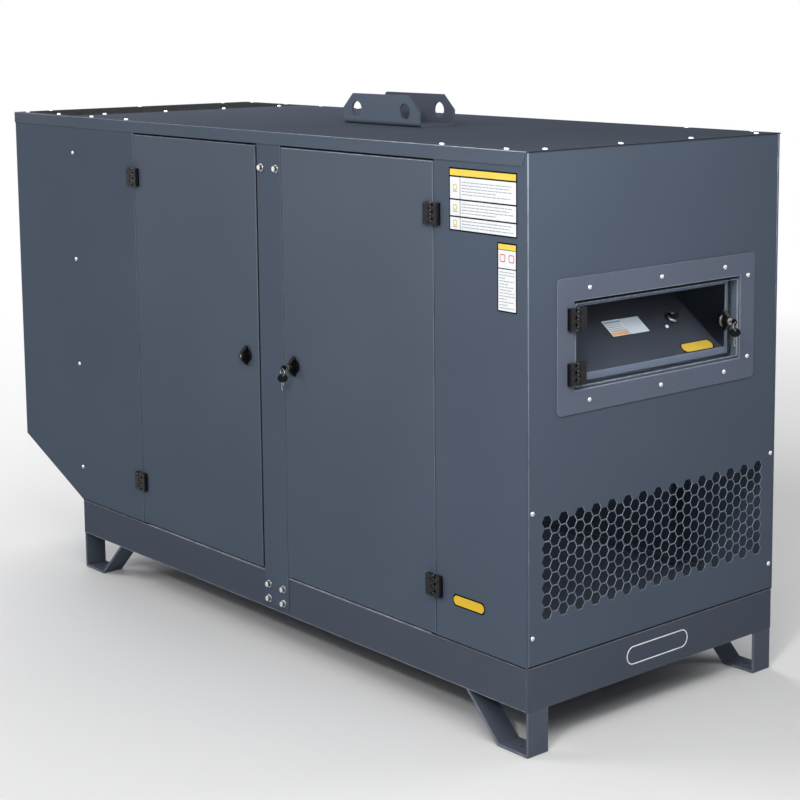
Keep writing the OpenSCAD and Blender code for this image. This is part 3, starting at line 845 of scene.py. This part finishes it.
def bezel_screws():
    low, high = box("window_frame")
    places = [(y, z) for y in BEZEL_YS for z in (low.z + BEZEL_INSET, high.z - BEZEL_INSET)]
    centre = (low.z + high.z) / 2
    for reach in (-BEZEL_SIDE_REACH, BEZEL_SIDE_REACH):
        places.append((high.y - BEZEL_INSET, centre + reach))
    fasten("bezel_screws", [on_end(y, z, BEZEL_X) for y, z in places])


POST_BOLT_HALF = 29
POST_BOLT_HEIGHTS = (ROOF_Z - 84, DECK_Z - 31, DECK_Z - 66)


def post_bolts():
    """Two bolts at the head of each post and four at its foot, over the base rail."""
    piece = Piece("zinc")
    places = [
        face(POST_X + reach, z) for face in (on_front, on_back)
        for reach in (-POST_BOLT_HALF, POST_BOLT_HALF) for z in POST_BOLT_HEIGHTS
    ]
    places = turned_on(places, BOLT_TURN)
    head = prism(circle(BOLT_ACROSS / math.sqrt(3), 6), WASHER[-1][1], BOLT_TOP[0][1])
    piece.add(turned(WASHER), places)
    # The head's sides are a darker steel than the washer, painted shade; the chrome cap on top is a
    # painted highlight.
    piece.add(soften(head, 0.5), places, "bolt_steel")
    piece.add(turned(BOLT_TOP), places, "chrome")
    piece.done("post_bolts", "zinc")


# ----- labels and plates -----

FILM = 0.25
INK = 0.12
WORD_LENGTHS = (12.8, 7.2, 16.8, 9.6, 14.4, 5.6, 19.2, 11.2, 8.0, 15.2)
WORD_GAP = 1.8
NARROWEST_WORD = 3


class Label(Piece):
    """Printed film; its fields lie about a place, at a height of so many ink layers."""

    def __init__(self, place, main_material):
        super().__init__(main_material)
        self.place = place

    def field(self, centre, size, material, level=0, radius=0.0):
        outline = rounded_box(*size, radius or 0.05, 4 if radius else 1)
        low = FILM + INK * (level - 1) if level else 0
        self.add(prism(outline, low, FILM + INK * level), self.place @ move(*centre), material)

    def words(self, left, y, width, height, seed):
        """One line of short plain bars with gaps, which stand for words."""
        right = left + width
        x, number = left, seed
        while x < right - NARROWEST_WORD:
            bar = min(WORD_LENGTHS[number % len(WORD_LENGTHS)], right - x)
            self.field((x + bar / 2, y), (bar, height), "grey_ink", 2)
            x += bar + WORD_GAP
            number += 3

    def header(self, width, height, rim, header):
        """Black ground with a bare yellow header; gives the width and the top that are left."""
        self.field((0, 0), (width, height), "black_ink")
        top = height / 2 - rim
        self.field((0, top - header / 2), (width - 2 * rim, header), "yellow_film", 1)
        return width - 2 * rim, top - header


def instruction_label():
    """Large white label with a yellow header and three plain rows; it holds no words."""
    width, height, rim, icon_w, seam, line_pitch = 203, 130, 3.2, 30, 1.4, 6.2
    place = on_front(END_X - 127, ROOF_Z - 43 - height / 2)
    label = Label(place, "black_ink")
    inner_w, row_top = label.header(width, height, rim, 13)
    row_top -= rim
    heights = [44, 32]
    heights.append(row_top + height / 2 - sum(heights) - 3 * rim)
    icon_x = (icon_w - inner_w) / 2
    text_w = inner_w - icon_w - seam
    text_left = inner_w / 2 - text_w
    for row_h, lines in zip(heights, (5, 4, 3)):
        row_y = row_top - row_h / 2
        label.field((icon_x, row_y), (icon_w, row_h), "white_film", 1)
        label.field((icon_x, row_y + 1.5), (12, 12), "icon_ink", 2, 3)
        label.field((icon_x, row_y + 1.5), (7, 7), "white_film", 3, 1.5)
        label.field((icon_x, row_y - 7), (13, 2), "grey_ink", 2)
        label.field((text_left + text_w / 2, row_y), (text_w, row_h), "white_film", 1)
        for i, share in enumerate((0.90, 0.86, 0.93, 0.62, 0.88)[:lines]):
            y = row_y + ((lines - 1) / 2 - i) * line_pitch
            label.words(text_left + 4, y, text_w * share, 1.7, i + lines)
        row_top -= row_h + rim
    label.done("instruction_label", "label_white")


def notice_label():
    """Narrow white label with a yellow header, two plain squares and plain lines."""
    width, height, rim, icon_h, line_pitch = 57, 140, 3, 36, 6
    place = on_front(END_X - 55, ROOF_Z - 184 - height / 2)
    label = Label(place, "black_ink")
    inner_w, top = label.header(width, height, rim, 11)
    icon_top = top - 1.2
    label.field((0, icon_top - icon_h / 2), (inner_w, icon_h), "white_film", 1)
    for x in (-13, 13):
        label.field((x, icon_top - 16), (16, 16), "red_ink", 2, 4)
        label.field((x, icon_top - 16), (12, 12), "white_film", 3, 2.5)
    text_top = icon_top - icon_h - 2.2
    text_h = text_top + height / 2 - rim
    label.field((0, text_top - text_h / 2), (inner_w, text_h), "white_film", 1)
    shares = (0.84, 0.88, 0.40, 0.80, 0.50, 0.86, 0.78)
    for i in range(13):
        y = text_top - (i + 1) * line_pitch
        label.words(3 - inner_w / 2, y, inner_w * shares[i % 7], 1.6, i)
    label.done("notice_label", "label_white")


def console_label():
    """Pale label in two parts, with plain coloured bars."""
    label = Label(on_console(-15, 105), "pale_film")
    width = 55
    label.field((0, 2), (width, 47), "white_film", 0, 1)
    label.field((0, 19), (width - 4, 6), "blue_ink", 1)
    for i in range(3):
        label.field((-2, 11 - 6 * i), (width - 10, 1.6), "grey_ink", 1)
    label.field((0, -7), (width - 4, 3), "blue_ink", 1)
    label.field((0, -15.5), (width - 3, 10), "orange_ink", 1)
    label.field((56.5, 1), (57, 47), "pale_film", 0, 1)
    label.done("console_label", "label_white")


def badge_outline(width, height, bow=7, steps=10):
    """Long plate outline with bowed ends."""
    outline = []
    for side in (1, -1):
        for t in spread(-1, 1, steps + 1):
            reach = width / 2 - bow + bow * (1 - t * t)
            outline.append((side * reach, side * t * height / 2))
    return outline


def yellow_badge(name, place, width, height, yellow="badge_yellow", rim=3):
    """Bare yellow plate with a black border."""
    inner = badge_outline(width - 2 * rim, height - 2 * rim)
    piece = Piece("black_ink")
    piece.add(prism(badge_outline(width, height), 0, FILM), place)
    piece.add(prism(inner, FILM, FILM + 0.5), place, yellow)
    piece.done(name, "label_yellow")


OUTLINE_LIGHT = 3.6


def embossed_outline():
    """Raised plain outline on the base's window end, painted lighter all over as a painted
    highlight; the field inside it is bare.
    """
    width, height, line, corner = 194, 41, 2.4, 20
    outer = rounded_box(width, height, corner, 8)
    inner = rounded_box(width - 2 * line, height - 2 * line, corner - line, 8)
    form = soften(band(outer, inner, -0.5, 0.9), 0.5, 2, 60)
    # The whole outline is marked for painted highlight.
    paint_highlight(form, form.faces, OUTLINE_LIGHT)
    place = on_end(2, (DECK_Z + BASE_Z) / 2 + 1, BASE_X)
    Piece("outline_paint").add(form, place).done("base_end_outline", "base_paint")


# ----- seals -----

SEAL_W = 12
SEAL_BACK = 30.4
JAMB_FRONT = 36
JAMB_IN = 10
JAMB_SHORT = 4
HEADER_FRONT = 38
HEADER_IN = 11
HEADER_SHORT = 24


def door_seals():
    """Sponge strips on the stops of each door opening."""
    piece = Piece("seal_rubber")
    half = SEAL_W / 2
    strips = []
    for name, side in (("right", 1), ("left", -1)):
        low, high = box(f"front_{name}_door")
        jamb = box(f"front_{name}_panel")[0 if side > 0 else 1].x + side * JAMB_IN
        ends = low.z + JAMB_SHORT, high.z - JAMB_SHORT
        strips.append((jamb - half, jamb + half, JAMB_FRONT, *ends))
        ends = low.x + HEADER_SHORT, high.x - HEADER_SHORT
        for z in (DECK_Z + HEADER_IN, FASCIA_Z - HEADER_IN):
            strips.append((*ends, HEADER_FRONT, z - half, z + half))
    for x0, x1, front, z0, z1 in strips:
        strip = block((x0, SEAL_BACK - HALF_W, z0), (x1, front - HALF_W, z1), 2.2, 3)
        piece.add(strip, BOTH_SIDES)
    piece.done("door_seals", "black_plastic")


FOAM_W = 8
FOAM_RISE = 4
GASKET_INSET = 0.8


def deck_seal():
    """Black gasket under the fixed panels and the window end's sheet, with foam behind it."""
    piece = Piece("seal_rubber")
    inside = SHEET - HALF_W
    side_top, end_top = DECK_Z + SIDE_GAP, DECK_Z + END_GAP
    for node in ("front_right_panel", "front_left_panel"):
        low, high = box(node)
        x0, x1 = max(low.x, BASE_LEFT) + SHEET, high.x - SHEET
        gasket = block((x0, GASKET_INSET - HALF_W, DECK_Z), (x1, inside, side_top))
        foam = block((x0, inside, DECK_Z), (x1, inside + FOAM_W, side_top + FOAM_RISE), 1)
        piece.add(gasket, BOTH_SIDES)
        piece.add(foam, BOTH_SIDES, "grey_foam")
    half = HALF_W - CORNER_BAR
    gasket = block((END_X - SHEET, -half, DECK_Z), (END_X - GASKET_INSET, half, end_top))
    foam = block((END_X - FOAM_W, -half, DECK_Z), (END_X - SHEET, half, end_top + FOAM_RISE), 1)
    piece.add(gasket)
    piece.add(foam, material="grey_foam")
    piece.done("deck_seal", "black_plastic")


def door_edge_dark_strip():
    """Thin black strip on the left door's free edge, which fills its wider gap with dark: painted
    shade.
    """
    low, high = box("front_left_door")
    strip = block(
        (high.x - 0.2, low.y + 1.6, low.z + 3), (high.x + 1.2, high.y - 1, high.z - 3), 0.3, 1,
    )
    Piece("seal_rubber").add(strip).done("left_door_edge_dark_strip", "black_plastic", body="left_door")


# ----- hinges -----

HINGE = 46
HALF_HINGE = HINGE / 2
KNUCKLES = 6
KNUCKLE_H = HINGE / KNUCKLES
KNUCKLE_GAP = 0.3
LEAF_OUT = 4
AXIS_OUT = 7
KNUCKLE_R = 6.5
BARREL_R = 5
BARREL_ROUND = 2.4
PIN_R = 2.5
WIDE_POCKET = 5
NO_POCKET = 0.2
CAP_OUT = 17
CAP_UP = 0.27 * HINGE
CAP = ((4.2, -1), (4.2, 0.25), (3.8, 0.5), (2.3, 0.5), (2.0, -0.4), (0, -0.4))


def bead(radius, round_r, low, high, steps=4):
    """Profile of a short cylinder with well rounded ends."""
    angles = spread(0, math.pi / 2, steps + 1)
    reach = radius - round_r
    lower = [(reach + round_r * math.sin(a), low + round_r * (1 - math.cos(a))) for a in angles]
    upper = [(r, high + low - h) for r, h in reversed(lower)]
    return [(0, low)] + lower + upper + [(0, high)]


def hinge_leaf(piece, place, first, pocket):
    """Block hinge leaf about local Z, reaching to local +X; its knuckles start at `first`.

    A pocket of a given width lies beside the other leaf's knuckles.
    """
    start = BARREL_R + 0.5
    inner = start + pocket
    top = HALF_HINGE
    piece.add(block((start, AXIS_OUT - 4, -top), (top, AXIS_OUT, top), 0.5, 1), place)
    piece.add(block((inner, -LEAF_OUT, -top), (top, AXIS_OUT - 0.5, top), 1.2, 3), place)
    for k in range(first, KNUCKLES, 2):
        low = k * KNUCKLE_H - HALF_HINGE + KNUCKLE_GAP
        high = low + KNUCKLE_H - 2 * KNUCKLE_GAP
        piece.add(turned(bead(BARREL_R, BARREL_ROUND, low, high), 24), place, "black_gloss")
        web = block((0, 0.4 - LEAF_OUT, low), (inner + 1, AXIS_OUT - 0.2, high), 0.4, 1)
        piece.add(web, place)
    for z in (-CAP_UP, CAP_UP):
        piece.add(turned(CAP, 24), place @ move(CAP_OUT, -LEAF_OUT, z) @ spin(90, "X"))


def hinge_pin(piece, place):
    reach = HALF_HINGE + 0.1
    piece.add(turned(((0, -reach), (PIN_R, -reach), (PIN_R, reach), (0, reach)), 20), place, "zinc")


def make_hinges():
    right_x = box("front_right_hinge_leaves")[1].x - KNUCKLE_R
    left_x = box("front_left_hinge_leaves")[0].x + KNUCKLE_R
    pane_y = box("window_hinge_leaves")[0].y + KNUCKLE_R
    door_z, pane_z = [
        (low.z + HALF_HINGE, high.z - HALF_HINGE)
        for low, high in map(box, ("front_right_hinge_leaves", "window_hinge_leaves"))
    ]
    axis_y = -HALF_W - AXIS_OUT
    right = [move(right_x, axis_y, z) for z in door_z]
    left = [move(left_x, axis_y, z) @ FLIP_X for z in door_z]
    to_end = spin(90, "Z") @ FLIP_X
    pane = [move(BEZEL_X + AXIS_OUT, pane_y, z) @ to_end for z in pane_z]

    fixed = Piece("black_plastic")
    for places, pocket in ((right, WIDE_POCKET), (left, NO_POCKET), (pane, WIDE_POCKET)):
        for place in places:
            hinge_leaf(fixed, place, 0, pocket)
            hinge_pin(fixed, place)
    fixed.done("fixed_hinge_leaves", "black_plastic", "hinge_frame_leaves")

    for name, body, places, pocket in (
        ("front_right", "right_door", right, NO_POCKET),
        ("front_left", "left_door", left, WIDE_POCKET),
        ("window", "window", pane, NO_POCKET),
    ):
        moving = Piece("black_plastic")
        for place in places:
            hinge_leaf(moving, place @ FLIP_X, 1, pocket)
        moving.done(name + "_moving_leaves", "black_plastic", name + "_hinge_leaves", body=body)

    back = Piece("black_plastic")
    for place in right + left:
        hinge_leaf(back, FLIP_Y @ place, 0, WIDE_POCKET)
        hinge_leaf(back, FLIP_Y @ place @ FLIP_X, 1, NO_POCKET)
        hinge_pin(back, FLIP_Y @ place)
    back.done("back_hinge_blocks", "black_plastic", "back_hinges")


# ----- knobs and keys -----

KNOB_BODY = (
    (0, 0.5), (15.4, 0.5), (16, 1.1), (16, 3.8), (14.8, 5), (10, 5.8), (9.9, 19.4), (8.9, 20.6),
    (0, 20.6),
)
PANE_RING = ((12, 4.5), (14.6, 4.5), (14.6, 6.2), (13.8, 6.8), (12, 6.8))
HALF_WING = ((24, 4), (23, 7), (11, 18.5), (9, 21))
WING_T = 12
KNOB_H = 24
LOCK_TOP = KNOB_H - 0.8
LOCK = (
    (0, 19), (7.5, 19), (7.5, 23.3), (6.8, KNOB_H), (5.3, KNOB_H), (5.1, LOCK_TOP), (0, LOCK_TOP),
)
NUT_ACROSS = 22
NUT_H = 4
SHAFT_R = 7.9
SHAFT_END = 6
RUN_GAP = 0.5
PANE_T = 5


def mirrored(outline):
    """An outline's right half, from its foot up, with its left half."""
    return list(outline) + [(-x, y) for x, y in reversed(outline)]


def wing_knob(piece, place, wall, on_pane=False):
    """Wing knob with a cam lock: disc, tapered wing along local Y, lock face and rear nut."""
    piece.add(turned(KNOB_BODY, 40), place, "knob_black")
    if on_pane:
        piece.add(turned(PANE_RING, 40), place, "key_steel")
    wing = prism(mirrored(HALF_WING), -WING_T / 2, WING_T / 2)
    piece.add(soften(wing, 1.6, 3), place @ facing(Vector(), Y, Z), "knob_black")
    piece.add(turned(LOCK), place, "key_steel" if on_pane else "lock_steel")
    # The keyway is a thin deep-black patch, painted shade; the chrome marks beside it are a painted
    # glint.
    slot = block((-0.7, -3.6, LOCK_TOP - 0.2), (0.7, 3.6, LOCK_TOP + 0.2))
    piece.add(slot, place, "deep_black")
    for low, high in (((1.6, -1.2), (2.6, 3.8)), ((1.6, -2.0), (4.6, -1.2))):
        glint = block((*low, LOCK_TOP - 0.1), (*high, LOCK_TOP + 0.3))
        piece.add(glint, place, "chrome")
    rear = "knob_black" if on_pane else "zinc"
    back = -wall - RUN_GAP
    piece.add(turned((
        (0, back - SHAFT_END), (SHAFT_R - 0.6, back - SHAFT_END), (SHAFT_R, back - SHAFT_END + 0.6),
        (SHAFT_R, RUN_GAP + 0.2), (0, RUN_GAP + 0.2),
    )), place, rear)
    nut = prism(circle(NUT_ACROSS / math.sqrt(3), 6), back - NUT_H, back)
    piece.add(soften(nut, 0.5), place, rear)


KEY_BOW_IN_LOCK = (14, 14)
KEY_BOW_HANGING = (24, 20)
KEY_HOLE = 4.5
KEY_RING_R = 7.5
KEY_WIRE = 1.6
KEY_SHANK = 5
KEY_BLADE_L = 23
KEY_HALF_W = 2.8
TOOTH = 3


def key(piece, place, size, blade_l, teeth):
    """Key hanging from the hole in its bow, which is at the origin; the blade points down Y."""
    drop = size[1] / 2 - KEY_HOLE
    bow = [p - Vector((0, drop)) for p in oval(*size)]
    cover = band(bow, oval(KEY_HOLE, KEY_HOLE), -1.2, 1.2)
    piece.add(soften(cover, 0.5, 2, 60), place, "knob_black")
    half, top = KEY_HALF_W, 2 - drop - size[1] / 2
    tip = top - blade_l
    outline = rectangle(-half, tip, half, top)
    if teeth:
        cuts = enumerate((3.2, 1.4, 2.4, 1.0, 2.2, 0))
        outline = [(-half, top), (-half, tip + TOOTH), (TOOTH - half, tip)]
        outline += [(half - cut, tip + i * TOOTH) for i, cut in cuts] + [(half, top)]
    piece.add(soften(prism(outline, -0.9, 0.9), 0.2, 1, 50), place, "key_steel")
    # Deep-black strips along the blade: painted shade in its grooves.
    for z in (-0.95, 0.95):
        groove = block((-0.9, top - 0.8 * blade_l, z - 0.1), (0.9, top, z + 0.1))
        piece.add(groove, place, "deep_black")


def key_set(place, swing):
    """Key in the lock, its ring, and a second key that hangs from the ring."""
    piece = Piece("key_steel")
    slack = (KEY_HOLE - KEY_WIRE) / 2 - 0.3
    hole = place @ move(z=KNOB_H + KEY_SHANK - 1 + KEY_BOW_IN_LOCK[1] - KEY_HOLE)
    key(piece, hole @ facing(Vector(), -Y, Z), KEY_BOW_IN_LOCK, KEY_SHANK + 2, False)
    ring_y = -KEY_RING_R - slack
    piece.add(ring_tube(KEY_RING_R, KEY_WIRE), hole @ move(y=ring_y), "ring_steel")
    hanging = hole @ move(y=2 * ring_y) @ spin(swing, "Y") @ spin(90, "Y")
    key(piece, hanging, KEY_BOW_HANGING, KEY_BLADE_L, True)
    return piece


def make_knobs():
    right, left = on_front(RIGHT_KNOB_X, KNOB_Z), on_front(LEFT_KNOB_X, KNOB_Z)
    back = [on_back(x, KNOB_Z) for x in (RIGHT_KNOB_X, LEFT_KNOB_X)]
    knob = middle("window_knob")
    pane = on_end(knob.y, knob.z, BEZEL_X)
    for name, body, node, places in (
        ("front_right_wing_knob", "right_knob", "front_right_knob", [right]),
        ("front_left_wing_knob", "left_knob", "front_left_knob", [left]),
        ("window_wing_knob", "window_latch", "window_knob", [pane]),
        ("back_wing_knobs", "root", "back_knobs", back),
    ):
        piece = Piece("knob_black")
        on_pane = places == [pane]
        for place in places:
            wing_knob(piece, place, PANE_T if on_pane else SHEET, on_pane)
        piece.done(name, "black_plastic", node, body=body)
    for name, place, swing, body in (
        ("front_right", right, -42, "right_knob"), ("window", pane, -132, "window_latch"),
    ):
        key_set(place, swing).done(name + "_key_ring", "key_metal", name + "_keys", body=body)


# ----- window and console -----

PANE_EASE = 0.3
PANE_HOLE = 17
PANE_CORNER = 3
SEAL_LINE = 3
SEAL_DEPTH = 8


def window():
    """Clear sheet with the knob's hole and painted highlight on its edges, on a sponge strip."""
    low, high = box("window_pane")
    centre = middle("window_pane")
    _, width, height = high - low
    outline = rounded_box(width - 2 * PANE_EASE, height - 2 * PANE_EASE, PANE_CORNER)
    knob = Vector((middle("window_knob").y - centre.y, 0))
    hole = [knob + p for p in circle(PANE_HOLE / 2 + PANE_EASE, 40)]
    pane = Piece("clear_sheet")
    pane.add(pierced(outline, [hole], PANE_T, PANE_EASE), on_end(centre.y, centre.z, low.x))
    # Edge faces get the painted highlight paint.
    pane.materials.append("pane_rim")
    pane.form.normal_update()
    for face in pane.form.faces:
        face.material_index = 0 if abs(face.normal.x) > 0.9 else 1
    pane.done("window_clear_pane", "clear_pane", "window_pane", body="window", smooth=25)

    width, height = width - 1, height - 1
    inner = rounded_box(width - 2 * SEAL_LINE, height - 2 * SEAL_LINE, 1)
    strip = band(rounded_box(width, height, PANE_CORNER), inner, 0, SEAL_DEPTH)
    place = on_end(centre.y, centre.z, box("window_frame")[0].x + SHEET)
    Piece("grey_rubber").add(soften(strip, 1, 2, 60), place).done("window_seal", "black_plastic")


SWITCH_UP = 107


def selector():
    """Rotary selector: black collar, steel ring and a grip with a pointer line."""
    base = on_console(middle("selector_switch").y, SWITCH_UP)
    piece = Piece("black_plastic")
    piece.add(turned((
        (0, -8), (4, -8), (4, 0.5), (16.6, 0.5), (17, 1), (17, 3.4), (16.4, 4.2), (10, 4.2),
        (10, 4.0), (0, 4.0),
    ), 48), base)
    piece.add(turned((
        (12.0, 4), (15.6, 4), (15.2, 5.6), (14.0, 7.4), (12.6, 8.0), (12.0, 7.4),
    ), 48), base, "key_steel")
    piece.add(turned(((0, 4), (11.8, 4), (11.4, 9), (9.8, 10.4), (0, 10.4)), 48), base)
    turn = base @ spin(90, "Z")
    piece.add(block((-3.4, -12.5, 4), (3.4, 12.5, 17), 1.8, 3), turn)
    piece.add(block((-0.8, 3, 16.8), (0.8, 11, 17.1)), turn, "white_film")
    piece.done("selector_knob", "black_plastic", "selector_switch", body="selector")


LAMP = ((0, 0), (4.2, 0), (4.2, 1.2), (3.2, 2.2), (2.8, 3.4), (1.6, 4.4), (0, 4.8))


def console_fittings():
    console_label()
    yellow_badge("console_badge", on_console(166, 17), 102, 30, "shaded_yellow")
    lamp = turned(LAMP, 24)
    Piece("white_film").add(lamp, on_console(128, 86)).done("console_lamp", "label_white")


# ----- stage -----

FLOOR_REACH = 14.0
PALE = 0.80
FADE = (1.6, 5.0)
AMBIENT = 0.15
BLUE_SHARE = 1.02
WHITE = (1, 1, 1, 1)


def seen_white(tree):
    """1 for camera, glossy and transmission rays, which see plain white."""
    seen = add_node(tree, "LightPath", "Is Camera Ray")
    path = seen.node.outputs
    for ray in ("Is Glossy Ray", "Is Transmission Ray"):
        seen = add_node(tree, "Math", 0, {0: seen, 1: path[ray]}, operation="MAXIMUM")
    return seen


def make_world():
    """Even grey daylight; the camera, gloss and glass see a white backdrop."""
    world = bpy.data.worlds.new("studio")
    bpy.context.scene.world = world
    world.use_nodes = True
    tree = world.node_tree
    daylight = (AMBIENT, AMBIENT, AMBIENT * BLUE_SHARE, 1)
    mixed = {0: seen_white(tree), 6: daylight, 7: WHITE}
    light = add_node(tree, "Mix", 2, mixed, data_type="RGBA")
    put(tree, light, tree.nodes["Background"].inputs["Color"])


def make_floor():
    """Pale floor that keeps the shadow near the set and fades into the backdrop further out."""
    mesh = bpy.data.meshes.new("floor")
    corners = rectangle(-FLOOR_REACH, -FLOOR_REACH, FLOOR_REACH, FLOOR_REACH)
    mesh.from_pydata([(*p, 0) for p in corners], [], [range(4)])
    s = Surface("floor", 0.9, specular=0.1)
    s.set("Base Color", s.varied((PALE, PALE, PALE), 0.01, 0.8))
    s.bump(s.noise(40, 3.0), 0.3, 0.2)
    distance = s.node("VectorMath", "Value", {0: s.place}, operation="LENGTH")
    glow = s.node("Emission", "Emission", {"Color": WHITE, "Strength": 1.0})
    s.pass_to(s.times(s.remap(distance, *FADE), seen_white(s.tree)), glow)
    paint_with(mesh, "floor")
    linked("floor", mesh)


def soft_box(name, place, target, size, power, height=None):
    """Area lamp aimed at a point, square where no height is given."""
    data = bpy.data.lights.new(name, "AREA")
    data.shape = "RECTANGLE"
    data.size = size
    data.size_y = height or size
    data.energy = power
    lamp = linked(name, data)
    lamp.location = place
    aim = Vector(target) - Vector(place)
    lamp.rotation_euler = aim.to_track_quat("-Z", "Y").to_euler()
    lamp.visible_camera = False


def make_lights():
    soft_box("key_light", (2.9, -4.3, 3.3), (0.8, -0.3, 0.8), 0.35, 66)
    soft_box("corner_light", (1.9, -1.7, 2.3), (0.8, -0.3, 0.9), 1.0, 25)
    soft_box("end_light", (2.2, -0.5, 1.7), (0.88, -0.3, 0.9), 0.8, 10)
    soft_box("low_end_light", (1.9, -0.9, 1.9), (0.88, -0.3, 0.9), 0.8, 4.5)
    soft_box("side_light", (-3.0, -3.6, 3.2), (-0.6, 0, 0.8), 2.5, 95)
    soft_box("top_light", (-2.0, 0.5, 3.4), (-0.3, 0, 1.2), 2.4, 36)
    soft_box("inner_light", (0.2, 0.02, 0.75), (0.2, 0.02, 0), 1.2, 1.25, 0.55)
    soft_box("back_light", (2.2, 4.6, 3.0), (0, 0, 0.7), 3.0, 60)
    soft_box("hood_light", (-5.0, 1.5, 3.0), (-1.0, 0, 0.7), 3.0, 120)


# ----- putting it together -----

ROOF_CUT = 4
BED_RISE = 12


def roof():
    """Roof with a lighter copy of the grey on its upright flanges for painted light, and near-black
    painted shadow on its cut edge at the window end.
    """
    mesh = refined("roof_panel", "canopy_paint", "roof_paint", light=0.9, upright=0.3)
    paint_with(mesh, "fascia_paint", "inner_paint")
    for face in mesh.polygons:
        # Near-black cut edge at the window end: painted shadow.
        if face.normal.x > 0.2 and face.center.x > (END_X - ROOF_CUT) * MM:
            face.material_index = 2
        elif abs(face.normal.z) < 0.3:
            face.material_index = 1


def lifting_bracket():
    """Bracket with painted shade, a darker copy of its paint, on the inner faces, bed and ends of
    its channel; the rest is a lighter copy of the grey, painted light.
    """
    mesh = refined("lifting_bracket", "base_paint", "bracket_paint", 2, 0.6)
    paint_with(mesh, "bracket_inside")
    for face in mesh.polygons:
        inward = face.normal.y * face.center.y < -0.3 * abs(face.center.y)
        bed = face.normal.z > 0.7 and face.center.z < (ROOF_Z + BED_RISE) * MM
        if inward or bed or abs(face.normal.x) > 0.5:
            face.material_index = 1


def make_sheets():
    # light and upright set the share of painted highlight on each part's folds.
    for side in ("front", "back"):
        for part, upright, lift in (
            ("right_panel", 0.06, SIDE_GAP), ("left_panel", 0.32, SIDE_GAP), ("post", 0.13, 0),
        ):
            refined(f"{side}_{part}", "canopy_paint", light=0.2, upright=upright, lift=lift)
        for part, light in (("right_door", 0.85), ("left_door", 0.42)):
            refined(f"{side}_{part}", "canopy_paint", "door_paint", 1.4, light=light)
    # Near-black front door frame: painted shade in the door gaps.
    refined("front_door_frame", "inner_paint")
    refined("back_door_frame", "inner_paint", "canopy_paint")
    refined("hood_end_panel", "canopy_paint")
    refined("hood_sloped_floor", "canopy_paint")
    roof()
    refined("window_frame", "canopy_paint", "frame_paint")
    for part, fold, light in (
        ("front_rail", 3, 1.5), ("back_rail", 3, 1.5), ("right_rail", 3, 0.42),
        ("left_rail", 3, 0.42), ("floor", 1, 0.42), ("crossmembers", 1, 0.42),
    ):
        refined("base_" + part, "base_paint", fold=fold, light=light)
    # The feet get a lighter copy of the base grey: painted light.
    for corner in ("front_right", "front_left", "back_right", "back_left"):
        refined("foot_" + corner, "base_paint", "foot_paint", 6, 0.6, 4)
    refined("lifting_beam", "inner_paint")
    # The console gets a darker copy of the grey: painted shade.
    refined("control_console", "inner_paint", "console_paint", 1)
    lifting_bracket()


make_camera()
make_world()
make_floor()
make_lights()
make_sheets()
window_end()
outlet_grille()
canopy_screws()
bezel_screws()
post_bolts()
instruction_label()
notice_label()
yellow_badge("panel_badge", on_front(END_X - 174, DECK_Z + 95), 101, 26)
embossed_outline()
door_seals()
deck_seal()
door_edge_dark_strip()
make_hinges()
make_knobs()
window()
selector()
console_fittings()

scene = bpy.context.scene
scene.view_settings.view_transform = "Standard"
